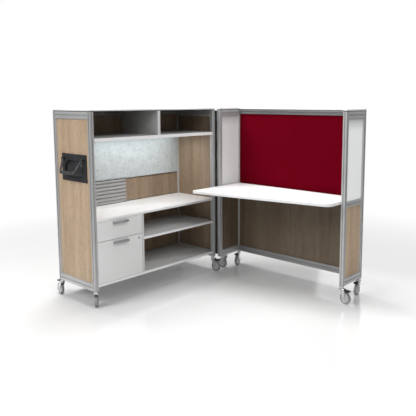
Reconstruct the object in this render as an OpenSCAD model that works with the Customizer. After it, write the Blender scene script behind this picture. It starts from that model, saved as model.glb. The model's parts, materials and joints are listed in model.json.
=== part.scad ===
// Folding cubicle workstation: a storage half and a desk half, hinged at their
// inner front corners and standing on eight swivel castors.
// Each half is drawn in its own frame: x runs from the hinge axis to the outer end,
// y runs from the front plane to the back, z runs up from the floor.

/* [Overall] */
// Width of each half, from the hinge axis to its outer end
half_w = 1230; // [1100:10:1400]
// Depth of the storage half's frame
storage_d = 455; // [440:5:520]
// Depth of the desk half's frame
desk_d = 280; // [270:5:340]
// Height of the frames' tops above the floor
frame_h = 1370; // [1350:5:1450]
// Distance from the hinge axis to each half's inner end
side_gap = 10; // [9:0.5:14]
// Distance from the hinge axis to each half's front plane
front_gap = 4; // [3.5:0.5:8]

/* [Frame] */
// Width of the square posts, and thickness of the rails
post_w = 30; // [28:1:34]
// Height of the top rails on the ends
end_rail_h = 50; // [40:1:60]
// Height of the top rails at the back
back_rail_h = 36; // [30:1:50]
// Height of the bottom rails
foot_rail_h = 50; // [40:1:60]
// Height of the desk half's middle rails
mid_rail_h = 40; // [30:1:50]
// Thickness of the panels that stand in the frames
panel_t = 9.6; // [6:0.2:12]
// Depth that a panel reaches into a rail or post
panel_in = 5; // [3:0.5:6]
// Thickness of the top panel and the cap
cap_t = 16; // [12:1:22]

/* [Storage half] */
// Height of the bins over the overhead shelf, up to the frame's top
overhead_h = 181; // [150:1:215]
// Thickness of the overhead shelf
overhead_t = 24; // [16:1:30]
// Thickness of the overhead divider
divider_t = 24; // [16:1:30]
// Height of the credenza's upper face
credenza_z = 630; // [600:1:640]
// Thickness of the credenza top
credenza_t = 18; // [16:1:24]
// Height of the base shelf's upper face above the frame's feet
base_up = 46; // [36:1:60]
// Height of the middle shelf's upper face
middle_z = 435; // [400:1:470]
// Thickness of the base shelf, the middle shelf and the partition
shelf_t = 18; // [16:1:22]
// Width of the drawer pedestal's opening
pedestal_w = 396; // [380:1:450]
// Height of the slatted tool panel, from the credenza to the tackboard
slat_panel_h = 193; // [150:1:230]
// Thickness of the storage half's tackboard
tack_t = 9; // [6:1:16]
// Width of the slatted tool panel
slat_panel_w = 583; // [500:1:620]
// Number of slots in the tool panel
slat_count = 6; // [4:1:8]

/* [Drawers] */
// Height of the box drawer's front
box_front_h = 141; // [120:1:150]
// Thickness of the drawer fronts
front_t = 18; // [16:1:22]
// Room behind the drawer trays, up to the back panel
tray_gap = 17; // [12:1:60]
// Distance from a tray's rim to the top of its front
tray_head = 20; // [12:1:40]
// Thickness of the tray walls
tray_wall = 12; // [9:1:15]
// Width of the drawer pulls
pull_w = 128; // [100:1:160]
// How far the drawer pulls stand out
pull_out = 22; // [18:1:26]

/* [Desk half] */
// Height of the desktop's upper face
desk_z = 737; // [725:1:745]
// Thickness of the desktop
desk_t = 26; // [20:1:28]
// How far the desktop stands out in front at the hinge
desk_reach = 350; // [300:1:360]
// How far the desktop stands out in front at its outer end
desk_outer_reach = 136; // [80:1:150]
// Distance from the hinge axis to the desktop's near edge
desk_near = 52; // [50:1:70]
// Height of the desktop above the middle rails
rail_down = 6; // [2:1:9]
// Thickness of the desk half's tackboard
board_t = 14; // [10:1:20]

/* [Castors] */
// Diameter of the castor wheels
wheel_d = 84; // [70:1:100]
// Height of the frame's feet above the tops of the wheels
castor_rise = 38; // [34:1:46]
// Width of the castor wheels
wheel_w = 22; // [18:1:26]
// Distance from the swivel axis to the axle
trail = 35; // [30:1:40]
// Distance from the hinge axis to the desk half's set-back castor
set_back = 90; // [88:1:110]

/* [Pull handle] */
// Width of the plate that holds the bail
plate_w = 298; // [260:1:340]
// Height of the plate
plate_h = 193; // [170:1:220]
// Share of the room between the posts that is in front of the plate
plate_front = 0.34; // [0.1:0.01:0.9]
// Share of the end panel's height that is below the plate's middle
plate_up = 0.702; // [0.6:0.002:0.8]
// Distance from the bail's pivots to the plate's ends
bail_margin = 33; // [26:1:40]
// Length of the bail's grip
grip_w = 146; // [120:1:170]
// Drop from the pivots to the grip
bail_drop = 92; // [80:1:100]
// How far the grip stands out from the pivots
bail_out = 46; // [40:1:54]

/* [Hidden] */
$fn = 48;
over = 1;                 // overrun of every cut
fit = 0.2;                // gap round a fixed panel or board
run_fit = 0.05;           // radial gap of a pin or stem in its hole
slot_w = panel_t + 2*fit; // slot that a panel stands in
slot_deep = panel_in + 1.2*fit;
groove_w = 8;             // open groove along an outer face
groove_deep = 3.5;
hinge_in = side_gap + post_w;       // inner face of the posts at the hinge
outer_in = half_w - post_w;         // inner face of the posts at the outer end
panel_face = (post_w - panel_t)/2;  // recess of a panel behind the frame's face
castor_h = wheel_d + castor_rise;
storage_back = front_gap + storage_d;
desk_back = front_gap + desk_d;
wall_y = storage_back - post_w + panel_face;  // front face of the storage back panel
hinge_wall = hinge_in - panel_face;           // inner face of the storage end panels
outer_wall = outer_in + panel_face;
foot_top = castor_h + foot_rail_h;
partition_x = outer_in - pedestal_w - shelf_t;
base_z = castor_h + base_up;
overhead_z = frame_h - overhead_h;
tack_z = credenza_z + slat_panel_h;
mid_rail_z = desk_z - rail_down;

slat_back = 6;        // tool panel behind its slots
slat_deep = 9;        // depth of a slot
slat_gap = 8;         // height of a slot
light_w = 24;         // lamp under the overhead shelf
light_h = 12;
light_end = 60;       // lamp's distance from the posts
light_wall = 30;      // lamp's distance from the tackboard
lens_t = 2;
lens_inset = 3;

front_clear = 2;      // gap round each drawer front
front_between = 3.5;  // gap between the two drawer fronts
runner_w = 13;        // room for a runner beside a tray
runner_h = 36;
runner_t = 2;
runner_deep = 8;
runner_gap = 0.3;     // running gap inside a runner
tray_floor = 6;
tray_lift = 12;       // tray above the bottom of its front
pull_t = 2.5;
pull_flange = 16;
pull_lip = 10;
pull_down = 15;       // pull below the top of its drawer front
lock_r = 8;
lock_in = 31;         // lock's distance from the partition
lock_down = 26;
lock_proud = 3;
key_w = 1.6;
key_h = 8;

hinge_r = 5;          // barrel of the long hinge
hinge_pin_r = 2.5;
hinge_t = 2.5;
hinge_leaf_w = 24;
hinge_foot = 20;      // hinge above the posts' feet
hinge_head = 8;       // hinge below the posts' tops
knuckles = 15;
knuckle_gap = 0.4;
pin_head_r = 4.4;
pin_head_h = 3;

desk_wire_gap = 14;   // gap between the desktop and the back
near_r = 22;          // rounding of the desktop's near corner
far_r = 60;           // rounding of the desktop's far corner
desk_far_gap = 8;     // gap between the desktop and the outer posts
arm_t = 6;
arm_h = 46;
arm_tip_h = 22;
arm_flange_w = 40;
arm_flange_t = 4;
arm_edge = 110;       // arm's tip behind the desktop's front edge
arm_end = 98;         // first and last arm's distance from the desktop's ends
arm_count = 3;

plate_t = 8;
cup_wall = 3;
cup_side = 31;        // plate's border beside, above and below the cup
cup_top = 42.5;
cup_foot = 22.5;
cup_deep = 24;
boss_up = 6;          // low boss on the cup's floor
boss_in = 22;         // boss inside the cup's wall
notch_w = 7;          // release slot above the cup
notch_h = 20;
notch_down = 26.5;    // its middle below the plate's top
notch_deep = 4;
pivot_down = 34.5;    // pivots below the plate's top
pivot_out = 14;       // pivots in front of the plate
eye_r = 8;
eye_w = 11;
lug_w = 9;
lug_h = 20;
lug_gap = 0.3;
bail_pin_r = 3;
bail_arm_r = 5.5;
grip_r = 9;

stem_r = 6;
stem_in = 25;         // stem's length inside the post
washer_h = 3;
washer_r = 13;
crown_r = 15;
crown_h = 12;
bridge_h = 9;
leg_t = 3;
leg_gap = 1.2;        // gap between a wheel and the fork
leg_top = 42;         // fork leg's width at the bridge
leg_r = 9;            // fork leg's end round the axle
axle_r = 4;
axle_head_r = 6.5;
axle_head = 1;
hub_r = 13;
dish = 3;             // depth of the dish in a wheel's side
rim_t = 9;            // tyre's thickness
tread_r = 5;
brake_x = 19;         // brake lever's pivot, from the swivel axis
brake_up = 12;        // and above the top of the wheel
brake_r = 4.5;
brake_pin_r = 2;
brake_reach = 72;
brake_t = 4;
brake_pad_w = 30;
brake_pad = 26;       // length of the lever's pad
shoe_near = 13;       // brake shoe's ends, from the lever's pivot
shoe_far = 24;
shoe_deep = 8.5;      // shoe below the pivot's axis

// each castor: [x, y, direction it trails in at rest, in degrees from +x to +y];
// the front outer pair stay clear of each other when the halves are closed
front_y = front_gap + post_w/2;
near_x = side_gap + post_w/2;
far_x = half_w - post_w/2;
storage_rear_y = storage_back - post_w/2;
desk_rear_y = desk_back - post_w/2;
storage_front_outer = [far_x, front_y, 130];
storage_front_hinge = [near_x, front_y, 270];
storage_rear_outer = [far_x, storage_rear_y, 100];
storage_rear_hinge = [near_x, storage_rear_y, 90];
desk_front_outer = [far_x, front_y, 350];
desk_front_hinge = [near_x, set_back, 180];
desk_rear_outer = [far_x, desk_rear_y, 278];
desk_rear_hinge = [near_x, desk_rear_y, 286];

// the origin lies on the floor, under the centre of everything that stands out
plate_face = half_w - panel_face + plate_t;
plate_y = front_gap + post_w + plate_w/2 + plate_front*(storage_d - 2*post_w - plate_w);
plate_z = foot_top + plate_up*(frame_h - end_rail_h - foot_top);
cup_w = plate_w - 2*cup_side;
cup_h = plate_h - cup_top - cup_foot;
cup_down = (cup_top - cup_foot)/2;
bail_w = plate_w - 2*bail_margin;
pivot_up = plate_h/2 - pivot_down;
notch_up = plate_h/2 - notch_down;
function castor_reach(turn) = (trail + wheel_d/2)*cos(turn) + wheel_w/2*abs(sin(turn));
reach_left = plate_face + pivot_out + bail_out + grip_r;
reach_front = far_x + castor_reach(desk_front_outer[2]);
reach_back = storage_rear_y + castor_reach(storage_rear_hinge[2] - 90);
centre_x = (desk_back - reach_left)/2;
centre_y = (reach_back - reach_front)/2;

// places of the two halves in the row frame
module storage_half()
    translate([-centre_x, -centre_y, 0]) mirror([1, 0, 0]) children();
module desk_half()
    translate([-centre_x, -centre_y, 0]) rotate([0, 0, -90]) children();

// a box from its lowest to its highest corner
module block(low, high) translate(low) cube(high - low);

// points of a round corner at b, between a and c
function unit(v) = v/norm(v);
function round_corner(a, b, c, r, steps = 10) =
    let (u = unit(a - b), v = unit(c - b), half = acos(u*v)/2,
         m = b + unit(u + v)*r/sin(half),
         p = b + u*r/tan(half) - m, q = b + v*r/tan(half) - m,
         start = atan2(p[1], p[0]), turn = atan2(q[1], q[0]) - start,
         sweep = turn > 180 ? turn - 360 : turn < -180 ? turn + 360 : turn)
    [for (i = [0:steps]) m + r*[cos(start + sweep*i/steps), sin(start + sweep*i/steps)]];

// a cut in the middle of one side of a section, deep where a panel stands in it
module side_cut(half_size, deep) {
    w = deep ? slot_w : groove_w;
    d = deep ? slot_deep : groove_deep;
    translate([half_size - d, -w/2]) square([d + over, w]);
}

// square post with its foot at the castors' height; deep names the sides
// (+x, +y, -x, -y) that hold a panel
module post(x, y, deep, bored = true)
    translate([x, y, castor_h]) difference() {
        linear_extrude(frame_h - castor_h) difference() {
            square(post_w, center = true);
            for (i = [0:3]) rotate(90*i) side_cut(post_w/2, deep[i]);
        }
        if (bored) stem_hole();
    }

module stem_hole()
    translate([0, 0, -over]) cylinder(r = stem_r + run_fit, h = stem_in + 2*over);

// section of a rail: height h, a panel slot in its top or bottom, a groove outside
module rail_section(h, top_slot, bottom_slot) difference() {
    translate([-post_w/2, 0]) square([post_w, h]);
    translate([0, h/2]) side_cut(post_w/2, false);
    if (top_slot) translate([0, h/2]) rotate(90) side_cut(h/2, true);
    if (bottom_slot) translate([0, h/2]) rotate(-90) side_cut(h/2, true);
}

// rail along an end, between the posts, with its groove outside
module end_rail(at_hinge, back_y, z, h, top_slot, bottom_slot) {
    y0 = front_gap + post_w + fit;
    y1 = back_y - post_w - fit;
    translate([at_hinge ? near_x : far_x, y1, z]) rotate([90, 0, 0]) linear_extrude(y1 - y0)
        mirror([at_hinge ? 1 : 0, 0]) rail_section(h, top_slot, bottom_slot);
}

// rail along the back, between the posts, with its groove outside
module back_rail(back_y, z, h, top_slot, bottom_slot)
    translate([hinge_in + fit, back_y - post_w/2, z]) rotate([90, 0, 90])
        linear_extrude(outer_in - hinge_in - 2*fit) rail_section(h, top_slot, bottom_slot);

// four posts, the end rails and the back rails that both halves have
module frame(back_y, hinge_front_bored) {
    rear_y = back_y - post_w/2;
    post(near_x, front_y, [false, true, false, false], hinge_front_bored);
    post(far_x, front_y, [false, true, false, false]);
    post(near_x, rear_y, [true, false, false, true]);
    post(far_x, rear_y, [false, false, true, true]);
    for (at_hinge = [true, false])
        end_rail(at_hinge, back_y, frame_h - end_rail_h, end_rail_h, false, true);
    back_rail(back_y, frame_h - back_rail_h, back_rail_h, false, true);
    back_rail(back_y, castor_h, foot_rail_h, true, false);
}

// upright panel along an end, held in the slots round it
module end_panel(x, back_y, z0, z1)
    block([x - panel_t/2, front_gap + post_w - panel_in, z0 - panel_in],
          [x + panel_t/2, back_y - post_w + panel_in, z1 + panel_in]);

// upright panel along the back, held in the slots round it
module back_board(back_y, z0, z1)
    block([hinge_in - panel_in, back_y - post_w/2 - panel_t/2, z0 - panel_in],
          [outer_in + panel_in, back_y - post_w/2 + panel_t/2, z1 + panel_in]);

// storage shelf between x0 and x1, notched round the posts
module shelf(z, t, x0, x1) difference() {
    block([x0, front_gap, z - t], [x1, wall_y - fit, z]);
    notch = post_w + 2*fit;
    for (x = [near_x, far_x], y = [front_y, storage_rear_y])
        translate([x, y, z - t/2]) cube([notch, notch, t + 2*over], center = true);
}

module storage_frame() color("#a9acb0") storage_half() {
    frame(storage_back, true);
    for (at_hinge = [true, false])
        end_rail(at_hinge, storage_back, castor_h, foot_rail_h, true, false);
}

module storage_top() color("#f2f2f2") storage_half()
    block([side_gap, front_gap, frame_h], [half_w, storage_back, frame_h + cap_t]);

module outer_end_panel() color("#b8a083") storage_half() difference() {
    end_panel(far_x, storage_back, foot_top, frame_h - end_rail_h);
    translate([0, plate_y, plate_z]) cup(-fit, outer_in, half_w);
}

module hinge_end_panel() color("#b8a083") storage_half()
    end_panel(near_x, storage_back, foot_top, frame_h - end_rail_h);

module back_panel() color("#b8a083") storage_half()
    back_board(storage_back, foot_top, frame_h - back_rail_h);

module overhead_shelf() color("#e6e6e6") storage_half()
    shelf(overhead_z, overhead_t, hinge_wall + fit, outer_wall - fit);

module overhead_divider() color("#d8d8d8") storage_half() {
    x = (hinge_in + outer_in)/2;
    block([x - divider_t/2, front_gap, overhead_z], [x + divider_t/2, wall_y - fit, frame_h - back_rail_h]);
    block([x - divider_t/2, front_gap, frame_h - back_rail_h - over],
          [x + divider_t/2, storage_back - post_w - fit, frame_h]);
}

function light_y() = wall_y - tack_t - light_wall - light_w;

module task_light() color("#c8c8c8") storage_half() {
    z = overhead_z - overhead_t;
    difference() {
        block([hinge_in + light_end, light_y(), z - light_h],
              [outer_in - light_end, light_y() + light_w, z]);
        block([hinge_in + light_end + lens_inset, light_y() + lens_inset, z - light_h - over],
              [outer_in - light_end - lens_inset, light_y() + light_w - lens_inset, z - light_h + lens_t]);
    }
}

module light_lens() color("#ffffff") storage_half() {
    z = overhead_z - overhead_t - light_h;
    block([hinge_in + light_end + lens_inset + fit, light_y() + lens_inset + fit, z],
          [outer_in - light_end - lens_inset - fit, light_y() + light_w - lens_inset - fit, z + lens_t]);
}

module storage_tackboard() color("#cfd6d8") storage_half()
    block([hinge_in + fit, wall_y - tack_t, tack_z],
          [outer_in - fit, wall_y, overhead_z - overhead_t]);

// tool panel: a back plate and bars, with slots that open to the front
module slat_panel() color("#9b9d9f") storage_half() {
    x1 = outer_in - fit;
    x0 = x1 - slat_panel_w;
    z0 = credenza_z;
    z1 = tack_z;
    bar_h = (z1 - z0 - slat_count*slat_gap)/(slat_count + 1);
    difference() {
        block([x0, wall_y - slat_back - slat_deep, z0], [x1, wall_y, z1]);
        for (i = [1:slat_count]) {
            z = z0 + i*bar_h + (i - 1)*slat_gap;
            block([x0 - over, wall_y - slat_back - slat_deep - over, z],
                  [x1 + over, wall_y - slat_back, z + slat_gap]);
        }
    }
}

module credenza_top() color("#f4f4f4") storage_half()
    shelf(credenza_z, credenza_t, hinge_wall + fit, outer_wall - fit);

module pedestal_partition() color("#ececec") storage_half()
    block([partition_x, front_gap, base_z],
          [partition_x + shelf_t, storage_back - post_w - fit, credenza_z - credenza_t]);

module middle_shelf() color("#ececec") storage_half()
    shelf(middle_z, shelf_t, hinge_wall + fit, partition_x);

module base_shelf() color("#ececec") storage_half()
    block([hinge_in + fit, front_gap, base_z - shelf_t],
          [outer_in - fit, storage_back - post_w - fit, base_z]);

// heights of the drawers' fronts and of their runners
function box_front_top() = credenza_z - credenza_t - front_clear;
function box_front_low() = box_front_top() - box_front_h;
function file_front_top() = box_front_low() - front_between;
function file_front_low() = base_z + front_clear;
function box_runner_z() = box_front_low() + box_front_h/2;
function file_runner_z() = (file_front_low() + file_front_top())/2;
function tray_y() = front_gap + front_t;
function tray_back() = wall_y - tray_gap;

// channel on each side of the pedestal, open towards the tray
module runner_pair(z) for (side = [0, 1]) {
    x = side == 0 ? partition_x + shelf_t : outer_in;
    y0 = tray_y() + runner_t;
    y1 = wall_y - fit;
    translate([x, 0, z - runner_h/2]) mirror([side, 0, 0]) {
        block([0, y0, 0], [runner_t, y1, runner_h]);
        block([0, y0, 0], [runner_deep, y1, runner_t]);
        block([0, y0, runner_h - runner_t], [runner_deep, y1, runner_h]);
    }
}

module drawer_runners() color("#b5b8bb") storage_half() {
    runner_pair(box_runner_z());
    runner_pair(file_runner_z());
}

// open tray behind a front, with a sliding bar on each side
module tray(front_low, front_top, runner_z) {
    x0 = partition_x + shelf_t + runner_w;
    x1 = outer_in - runner_w;
    y0 = tray_y();
    y1 = tray_back();
    low = front_low + tray_lift;
    high = front_top - tray_head;
    difference() {
        block([x0, y0, low], [x1, y1, high]);
        block([x0 + tray_wall, y0 + tray_wall, low + tray_floor],
              [x1 - tray_wall, y1 - tray_wall, high + over]);
    }
    bar_h = runner_h/2 - runner_t - runner_gap;
    bar_in = runner_w - runner_t - runner_gap;
    for (x = [x0 - bar_in, x1])
        block([x, y0 + runner_t, runner_z - bar_h], [x + bar_in, y1, runner_z + bar_h]);
}

module box_drawer_tray() color("#dcdcdc") storage_half()
    tray(box_front_low(), box_front_top(), box_runner_z());

module file_drawer_tray() color("#dcdcdc") storage_half()
    tray(file_front_low(), file_front_top(), file_runner_z());

module drawer_front(low, high)
    block([partition_x + shelf_t + front_clear, front_gap, low],
          [outer_in - front_clear, front_gap + front_t, high]);

module box_drawer_front() color("#e4e4e4") storage_half()
    drawer_front(box_front_low(), box_front_top());

function lock_x() = partition_x + shelf_t + lock_in;
function lock_z() = file_front_top() - lock_down;

module file_drawer_front() color("#e4e4e4") storage_half() difference() {
    drawer_front(file_front_low(), file_front_top());
    translate([lock_x(), front_gap + front_t + over, lock_z()]) rotate([90, 0, 0])
        cylinder(r = lock_r + run_fit, h = front_t + 2*over);
}

// folded pull: a flange on the drawer front, a lip over it and a turned-down edge
module pull(front_top) {
    x = outer_in - pedestal_w/2;
    z = front_top - pull_down;
    block([x - pull_w/2, front_gap - pull_t, z - pull_flange], [x + pull_w/2, front_gap, z]);
    block([x - pull_w/2, front_gap - pull_out, z - pull_t], [x + pull_w/2, front_gap, z]);
    block([x - pull_w/2, front_gap - pull_out, z - pull_lip],
          [x + pull_w/2, front_gap - pull_out + pull_t, z]);
}

module box_drawer_pull() color("#b9bcc0") storage_half() pull(box_front_top());
module file_drawer_pull() color("#b9bcc0") storage_half() pull(file_front_top());

module lock_cylinder() color("#c9c9c9") storage_half()
    translate([lock_x(), front_gap + front_t - runner_gap, lock_z()]) rotate([90, 0, 0])
        difference() {
            cylinder(r = lock_r, h = front_t + lock_proud - runner_gap);
            translate([0, 0, front_t + lock_proud - runner_gap])
                cube([key_w, key_h, key_h], center = true);
        }

// long hinge between the halves
function hinge_z0() = castor_h + hinge_foot;
function hinge_z1() = frame_h - hinge_head;
function knuckle_h() = (hinge_z1() - hinge_z0())/knuckles;

// one leaf: a strip on the post's end face and every second knuckle
module hinge_leaf(first) {
    block([side_gap - hinge_t, hinge_r - hinge_t, hinge_z0()],
          [side_gap, front_gap + hinge_leaf_w, hinge_z1()]);
    for (i = [first:2:knuckles - 1]) translate([0, 0, hinge_z0() + i*knuckle_h()]) difference() {
        h = knuckle_h() - (i == knuckles - 1 ? 0 : knuckle_gap);
        union() {
            cylinder(r = hinge_r, h = h);
            block([0, hinge_r - hinge_t, 0], [side_gap, hinge_r, h]);
        }
        translate([0, 0, -over]) cylinder(r = hinge_pin_r + run_fit, h = knuckle_h() + 2*over);
    }
}

module hinge_leaf_storage() color("#232325") storage_half() hinge_leaf(0);
module hinge_leaf_desk() color("#232325") desk_half() hinge_leaf(1);

module hinge_pin() color("#303033") storage_half() {
    z0 = hinge_z0();
    z1 = hinge_z1();
    translate([0, 0, z0 - pin_head_h]) cylinder(r = hinge_pin_r, h = z1 - z0 + 2*pin_head_h);
    translate([0, 0, z0 - pin_head_h]) cylinder(r = pin_head_r, h = pin_head_h);
    translate([0, 0, z1]) cylinder(r = pin_head_r, h = pin_head_h);
}

// oval plug of the cup's outline, inset all round, from one depth to another
module cup(inset, x0, x1) translate([x0, 0, -cup_down]) rotate([90, 0, 90])
    linear_extrude(x1 - x0) {
        square([cup_w - cup_h, cup_h - 2*inset], center = true);
        for (s = [-1, 1]) translate([s*(cup_w - cup_h)/2, 0]) circle(r = cup_h/2 - inset);
    }

// pull plate on the storage half's outer end, with its cup and the bail's lugs
module pull_plate() color("#2b2b2d") storage_half() translate([0, plate_y, plate_z]) {
    back = plate_face - plate_t;
    floor_x = plate_face - cup_deep;
    difference() {
        union() {
            block([back, -plate_w/2, -plate_h/2], [plate_face, plate_w/2, plate_h/2]);
            cup(0, floor_x - cup_wall, plate_face - over);
        }
        cup(cup_wall, floor_x, plate_face + over);
        block([plate_face - notch_deep, -notch_w/2, notch_up - notch_h/2],
              [plate_face + over, notch_w/2, notch_up + notch_h/2]);
    }
    cup(boss_in, floor_x - over, floor_x + boss_up);
    for (s = [-1, 1]) {
        y = s*(bail_w/2 + eye_w/2 + lug_gap);
        translate([plate_face, min(y, y + s*lug_w), pivot_up - lug_h/2])
            cube([pivot_out + eye_r, lug_w, lug_h]);
        translate([plate_face + pivot_out, s*(bail_w/2 - eye_w/2), pivot_up]) rotate([-s*90, 0, 0])
            cylinder(r = bail_pin_r, h = eye_w + lug_gap + over);
    }
}

// round bar from one point to another
module bar(a, b, r) {
    v = b - a;
    translate(a) rotate([0, acos(v[2]/norm(v)), atan2(v[1], v[0])]) cylinder(r = r, h = norm(v));
}

module bail_handle() color("#38383a") storage_half()
    translate([plate_face + pivot_out, plate_y, plate_z + pivot_up]) {
        for (s = [-1, 1]) difference() {
            union() {
                translate([0, s*bail_w/2, 0]) rotate([90, 0, 0])
                    cylinder(r = eye_r, h = eye_w, center = true);
                bar([0, s*bail_w/2, 0], [bail_out, s*grip_w/2, -bail_drop], bail_arm_r);
                translate([bail_out, s*grip_w/2, -bail_drop]) sphere(r = grip_r);
            }
            translate([0, s*bail_w/2, 0]) rotate([90, 0, 0])
                cylinder(r = bail_pin_r + run_fit, h = eye_w + 2*over, center = true);
        }
        translate([bail_out, 0, -bail_drop]) rotate([90, 0, 0])
            cylinder(r = grip_r, h = grip_w, center = true);
    }

module desk_frame() color("#a9acb0") desk_half() {
    frame(desk_back, false);
    difference() {
        end_rail(true, desk_back, castor_h, foot_rail_h, true, false);
        translate([near_x, set_back, castor_h]) stem_hole();
    }
    end_rail(false, desk_back, castor_h, foot_rail_h, true, false);
    for (at_hinge = [true, false])
        end_rail(at_hinge, desk_back, mid_rail_z - mid_rail_h, mid_rail_h, true, true);
    back_rail(desk_back, mid_rail_z - mid_rail_h, mid_rail_h, false, true);
}

// caps over the end rails and the back rail, open at the front
module desk_cap() color("#f2f2f2") desk_half() {
    for (x = [side_gap, outer_in])
        block([x, front_gap, frame_h], [x + post_w, desk_back, frame_h + cap_t]);
    block([hinge_in + fit, desk_back - post_w, frame_h],
          [outer_in - fit, desk_back, frame_h + cap_t]);
}

module frosted_panels() color("#e9edee", 0.7) desk_half()
    for (x = [near_x, far_x]) end_panel(x, desk_back, mid_rail_z, frame_h - end_rail_h);

module desk_end_panels() color("#b8a083") desk_half()
    for (x = [near_x, far_x]) end_panel(x, desk_back, foot_top, mid_rail_z - mid_rail_h);

module desk_back_panel() color("#8a7359") desk_half()
    back_board(desk_back, foot_top, mid_rail_z - mid_rail_h);

module red_tackboard() color("#6c0014") desk_half()
    block([hinge_in + fit, desk_rear_y - board_t/2, mid_rail_z],
          [outer_in - fit, desk_rear_y + board_t/2, frame_h - back_rail_h]);

// depth of the desktop's front edge at x, in front of the front plane
function desk_far() = outer_in - desk_far_gap;
function desk_edge(x) = desk_reach
    + (desk_outer_reach - desk_reach)*(x - desk_near)/(desk_far() - desk_near);

module desktop() color("#fafafa") desk_half() {
    back_y = desk_back - post_w - desk_wire_gap;
    near_front = [desk_near, front_gap - desk_reach];
    far_front = [desk_far(), front_gap - desk_outer_reach];
    near_back = [desk_near, back_y];
    far_back = [desk_far(), back_y];
    translate([0, 0, desk_z - desk_t]) linear_extrude(desk_t)
        polygon(concat([near_back], round_corner(near_back, near_front, far_front, near_r),
                       round_corner(near_front, far_front, far_back, far_r), [far_back]));
}

// steel arms that carry the desktop from the middle back rail
module desk_arms() color("#6f7275") desk_half() for (i = [0:arm_count - 1]) {
    x0 = desk_near + arm_end;
    x = x0 + i*(desk_far() - arm_end - x0)/(arm_count - 1);
    top = desk_z - desk_t;
    back_y = desk_back - post_w;
    tip_y = front_gap - desk_edge(x) + arm_edge;
    translate([x - arm_t/2, 0, 0]) rotate([90, 0, 90]) linear_extrude(arm_t)
        polygon([[back_y, top], [tip_y, top], [tip_y, top - arm_tip_h], [back_y, top - arm_h]]);
    block([x - arm_flange_w/2, tip_y, top - arm_flange_t], [x + arm_flange_w/2, back_y, top]);
}

// castors: each is drawn with its swivel axis upright and its trail along +x
module castor(place) translate([place[0], place[1], 0]) rotate([0, 0, place[2]]) children();

fork_in = wheel_w/2 + leg_gap;     // inner face of the fork's legs
fork_out = fork_in + leg_t;
bridge_top = castor_h - washer_h - crown_h;
bridge_low = bridge_top - bridge_h;
axle_z = wheel_d/2;

module upright(y0, y1) translate([0, y1, 0]) rotate([90, 0, 0]) linear_extrude(y1 - y0) children();

module fork(place) color("#d9dbde") castor(place) {
    translate([0, 0, castor_h - washer_h]) cylinder(r = washer_r, h = washer_h);
    translate([0, 0, castor_h - over]) cylinder(r = stem_r, h = stem_in + over);
    translate([0, 0, bridge_top - over]) cylinder(r = crown_r, h = crown_h + over);
    upright(-fork_out, fork_out)
        translate([-crown_r, bridge_low]) square([2*crown_r - leg_gap, bridge_h]);
    for (y = [-fork_out, fork_in]) upright(y, y + leg_t) {
        polygon([[-crown_r, bridge_top], [leg_top - crown_r, bridge_top],
                 [trail + leg_r, axle_z], [trail - leg_r, axle_z]]);
        translate([trail, axle_z]) circle(r = leg_r);
    }
    translate([trail, 0, axle_z]) rotate([90, 0, 0]) {
        cylinder(r = axle_r, h = 2*fork_out, center = true);
        for (s = [-1, 1]) translate([0, 0, s*(fork_out + axle_head/2)])
            cylinder(r = axle_head_r, h = axle_head, center = true);
    }
    translate([brake_x, 0, wheel_d + brake_up]) rotate([90, 0, 0])
        cylinder(r = brake_pin_r, h = 2*fork_out, center = true);
}

// wheel: hub, dished web and a tyre with rounded shoulders, turned about its axle
module wheel(place) color("#9ea2a6") castor(place)
    translate([trail, 0, axle_z]) rotate([90, 0, 0]) rotate_extrude() {
        r = wheel_d/2;
        translate([axle_r + run_fit, -wheel_w/2]) square([hub_r - axle_r - run_fit, wheel_w]);
        translate([hub_r - over, -wheel_w/2 + dish])
            square([r - rim_t - hub_r + 2*over, wheel_w - 2*dish]);
        translate([r - rim_t, -wheel_w/2]) square([rim_t - tread_r, wheel_w]);
        translate([r - rim_t, -wheel_w/2 + tread_r]) square([rim_t, wheel_w - 2*tread_r]);
        for (s = [-1, 1]) translate([r - tread_r, s*(wheel_w/2 - tread_r)]) circle(r = tread_r);
    }

// brake lever, free to tip about its pin in the fork, with a shoe over the wheel
module brake(place) color("#1c1c1e") castor(place)
    translate([brake_x, 0, wheel_d + brake_up]) difference() {
        w = 2*(fork_in - runner_gap);
        pad_x = brake_reach - brake_x - brake_pad;
        union() {
            rotate([90, 0, 0]) cylinder(r = brake_r, h = w, center = true);
            block([0, -w/2, brake_r - brake_t], [pad_x + over, w/2, brake_r]);
            block([shoe_near, -w/2, -shoe_deep], [shoe_far, w/2, brake_r - over]);
            block([pad_x, -brake_pad_w/2, brake_r - brake_t],
                  [pad_x + brake_pad, brake_pad_w/2, brake_r]);
        }
        rotate([90, 0, 0]) cylinder(r = brake_pin_r + run_fit, h = w + 2*over, center = true);
    }

storage_frame();
storage_top();
outer_end_panel();
hinge_end_panel();
back_panel();
overhead_shelf();
overhead_divider();
task_light();
light_lens();
storage_tackboard();
slat_panel();
credenza_top();
pedestal_partition();
middle_shelf();
base_shelf();
drawer_runners();
pull_plate();
hinge_leaf_storage();
hinge_pin();
bail_handle();
lock_cylinder();
box_drawer_tray();
box_drawer_front();
box_drawer_pull();
file_drawer_tray();
file_drawer_front();
file_drawer_pull();
desk_frame();
desk_cap();
frosted_panels();
desk_end_panels();
desk_back_panel();
red_tackboard();
desktop();
desk_arms();
hinge_leaf_desk();
storage_half() fork(storage_front_outer);  // fork_storage_front_outer
storage_half() wheel(storage_front_outer);  // wheel_storage_front_outer
storage_half() brake(storage_front_outer);  // brake_storage_front_outer
storage_half() fork(storage_front_hinge);  // fork_storage_front_hinge
storage_half() wheel(storage_front_hinge);  // wheel_storage_front_hinge
storage_half() brake(storage_front_hinge);  // brake_storage_front_hinge
storage_half() fork(storage_rear_outer);  // fork_storage_rear_outer
storage_half() wheel(storage_rear_outer);  // wheel_storage_rear_outer
storage_half() brake(storage_rear_outer);  // brake_storage_rear_outer
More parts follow.
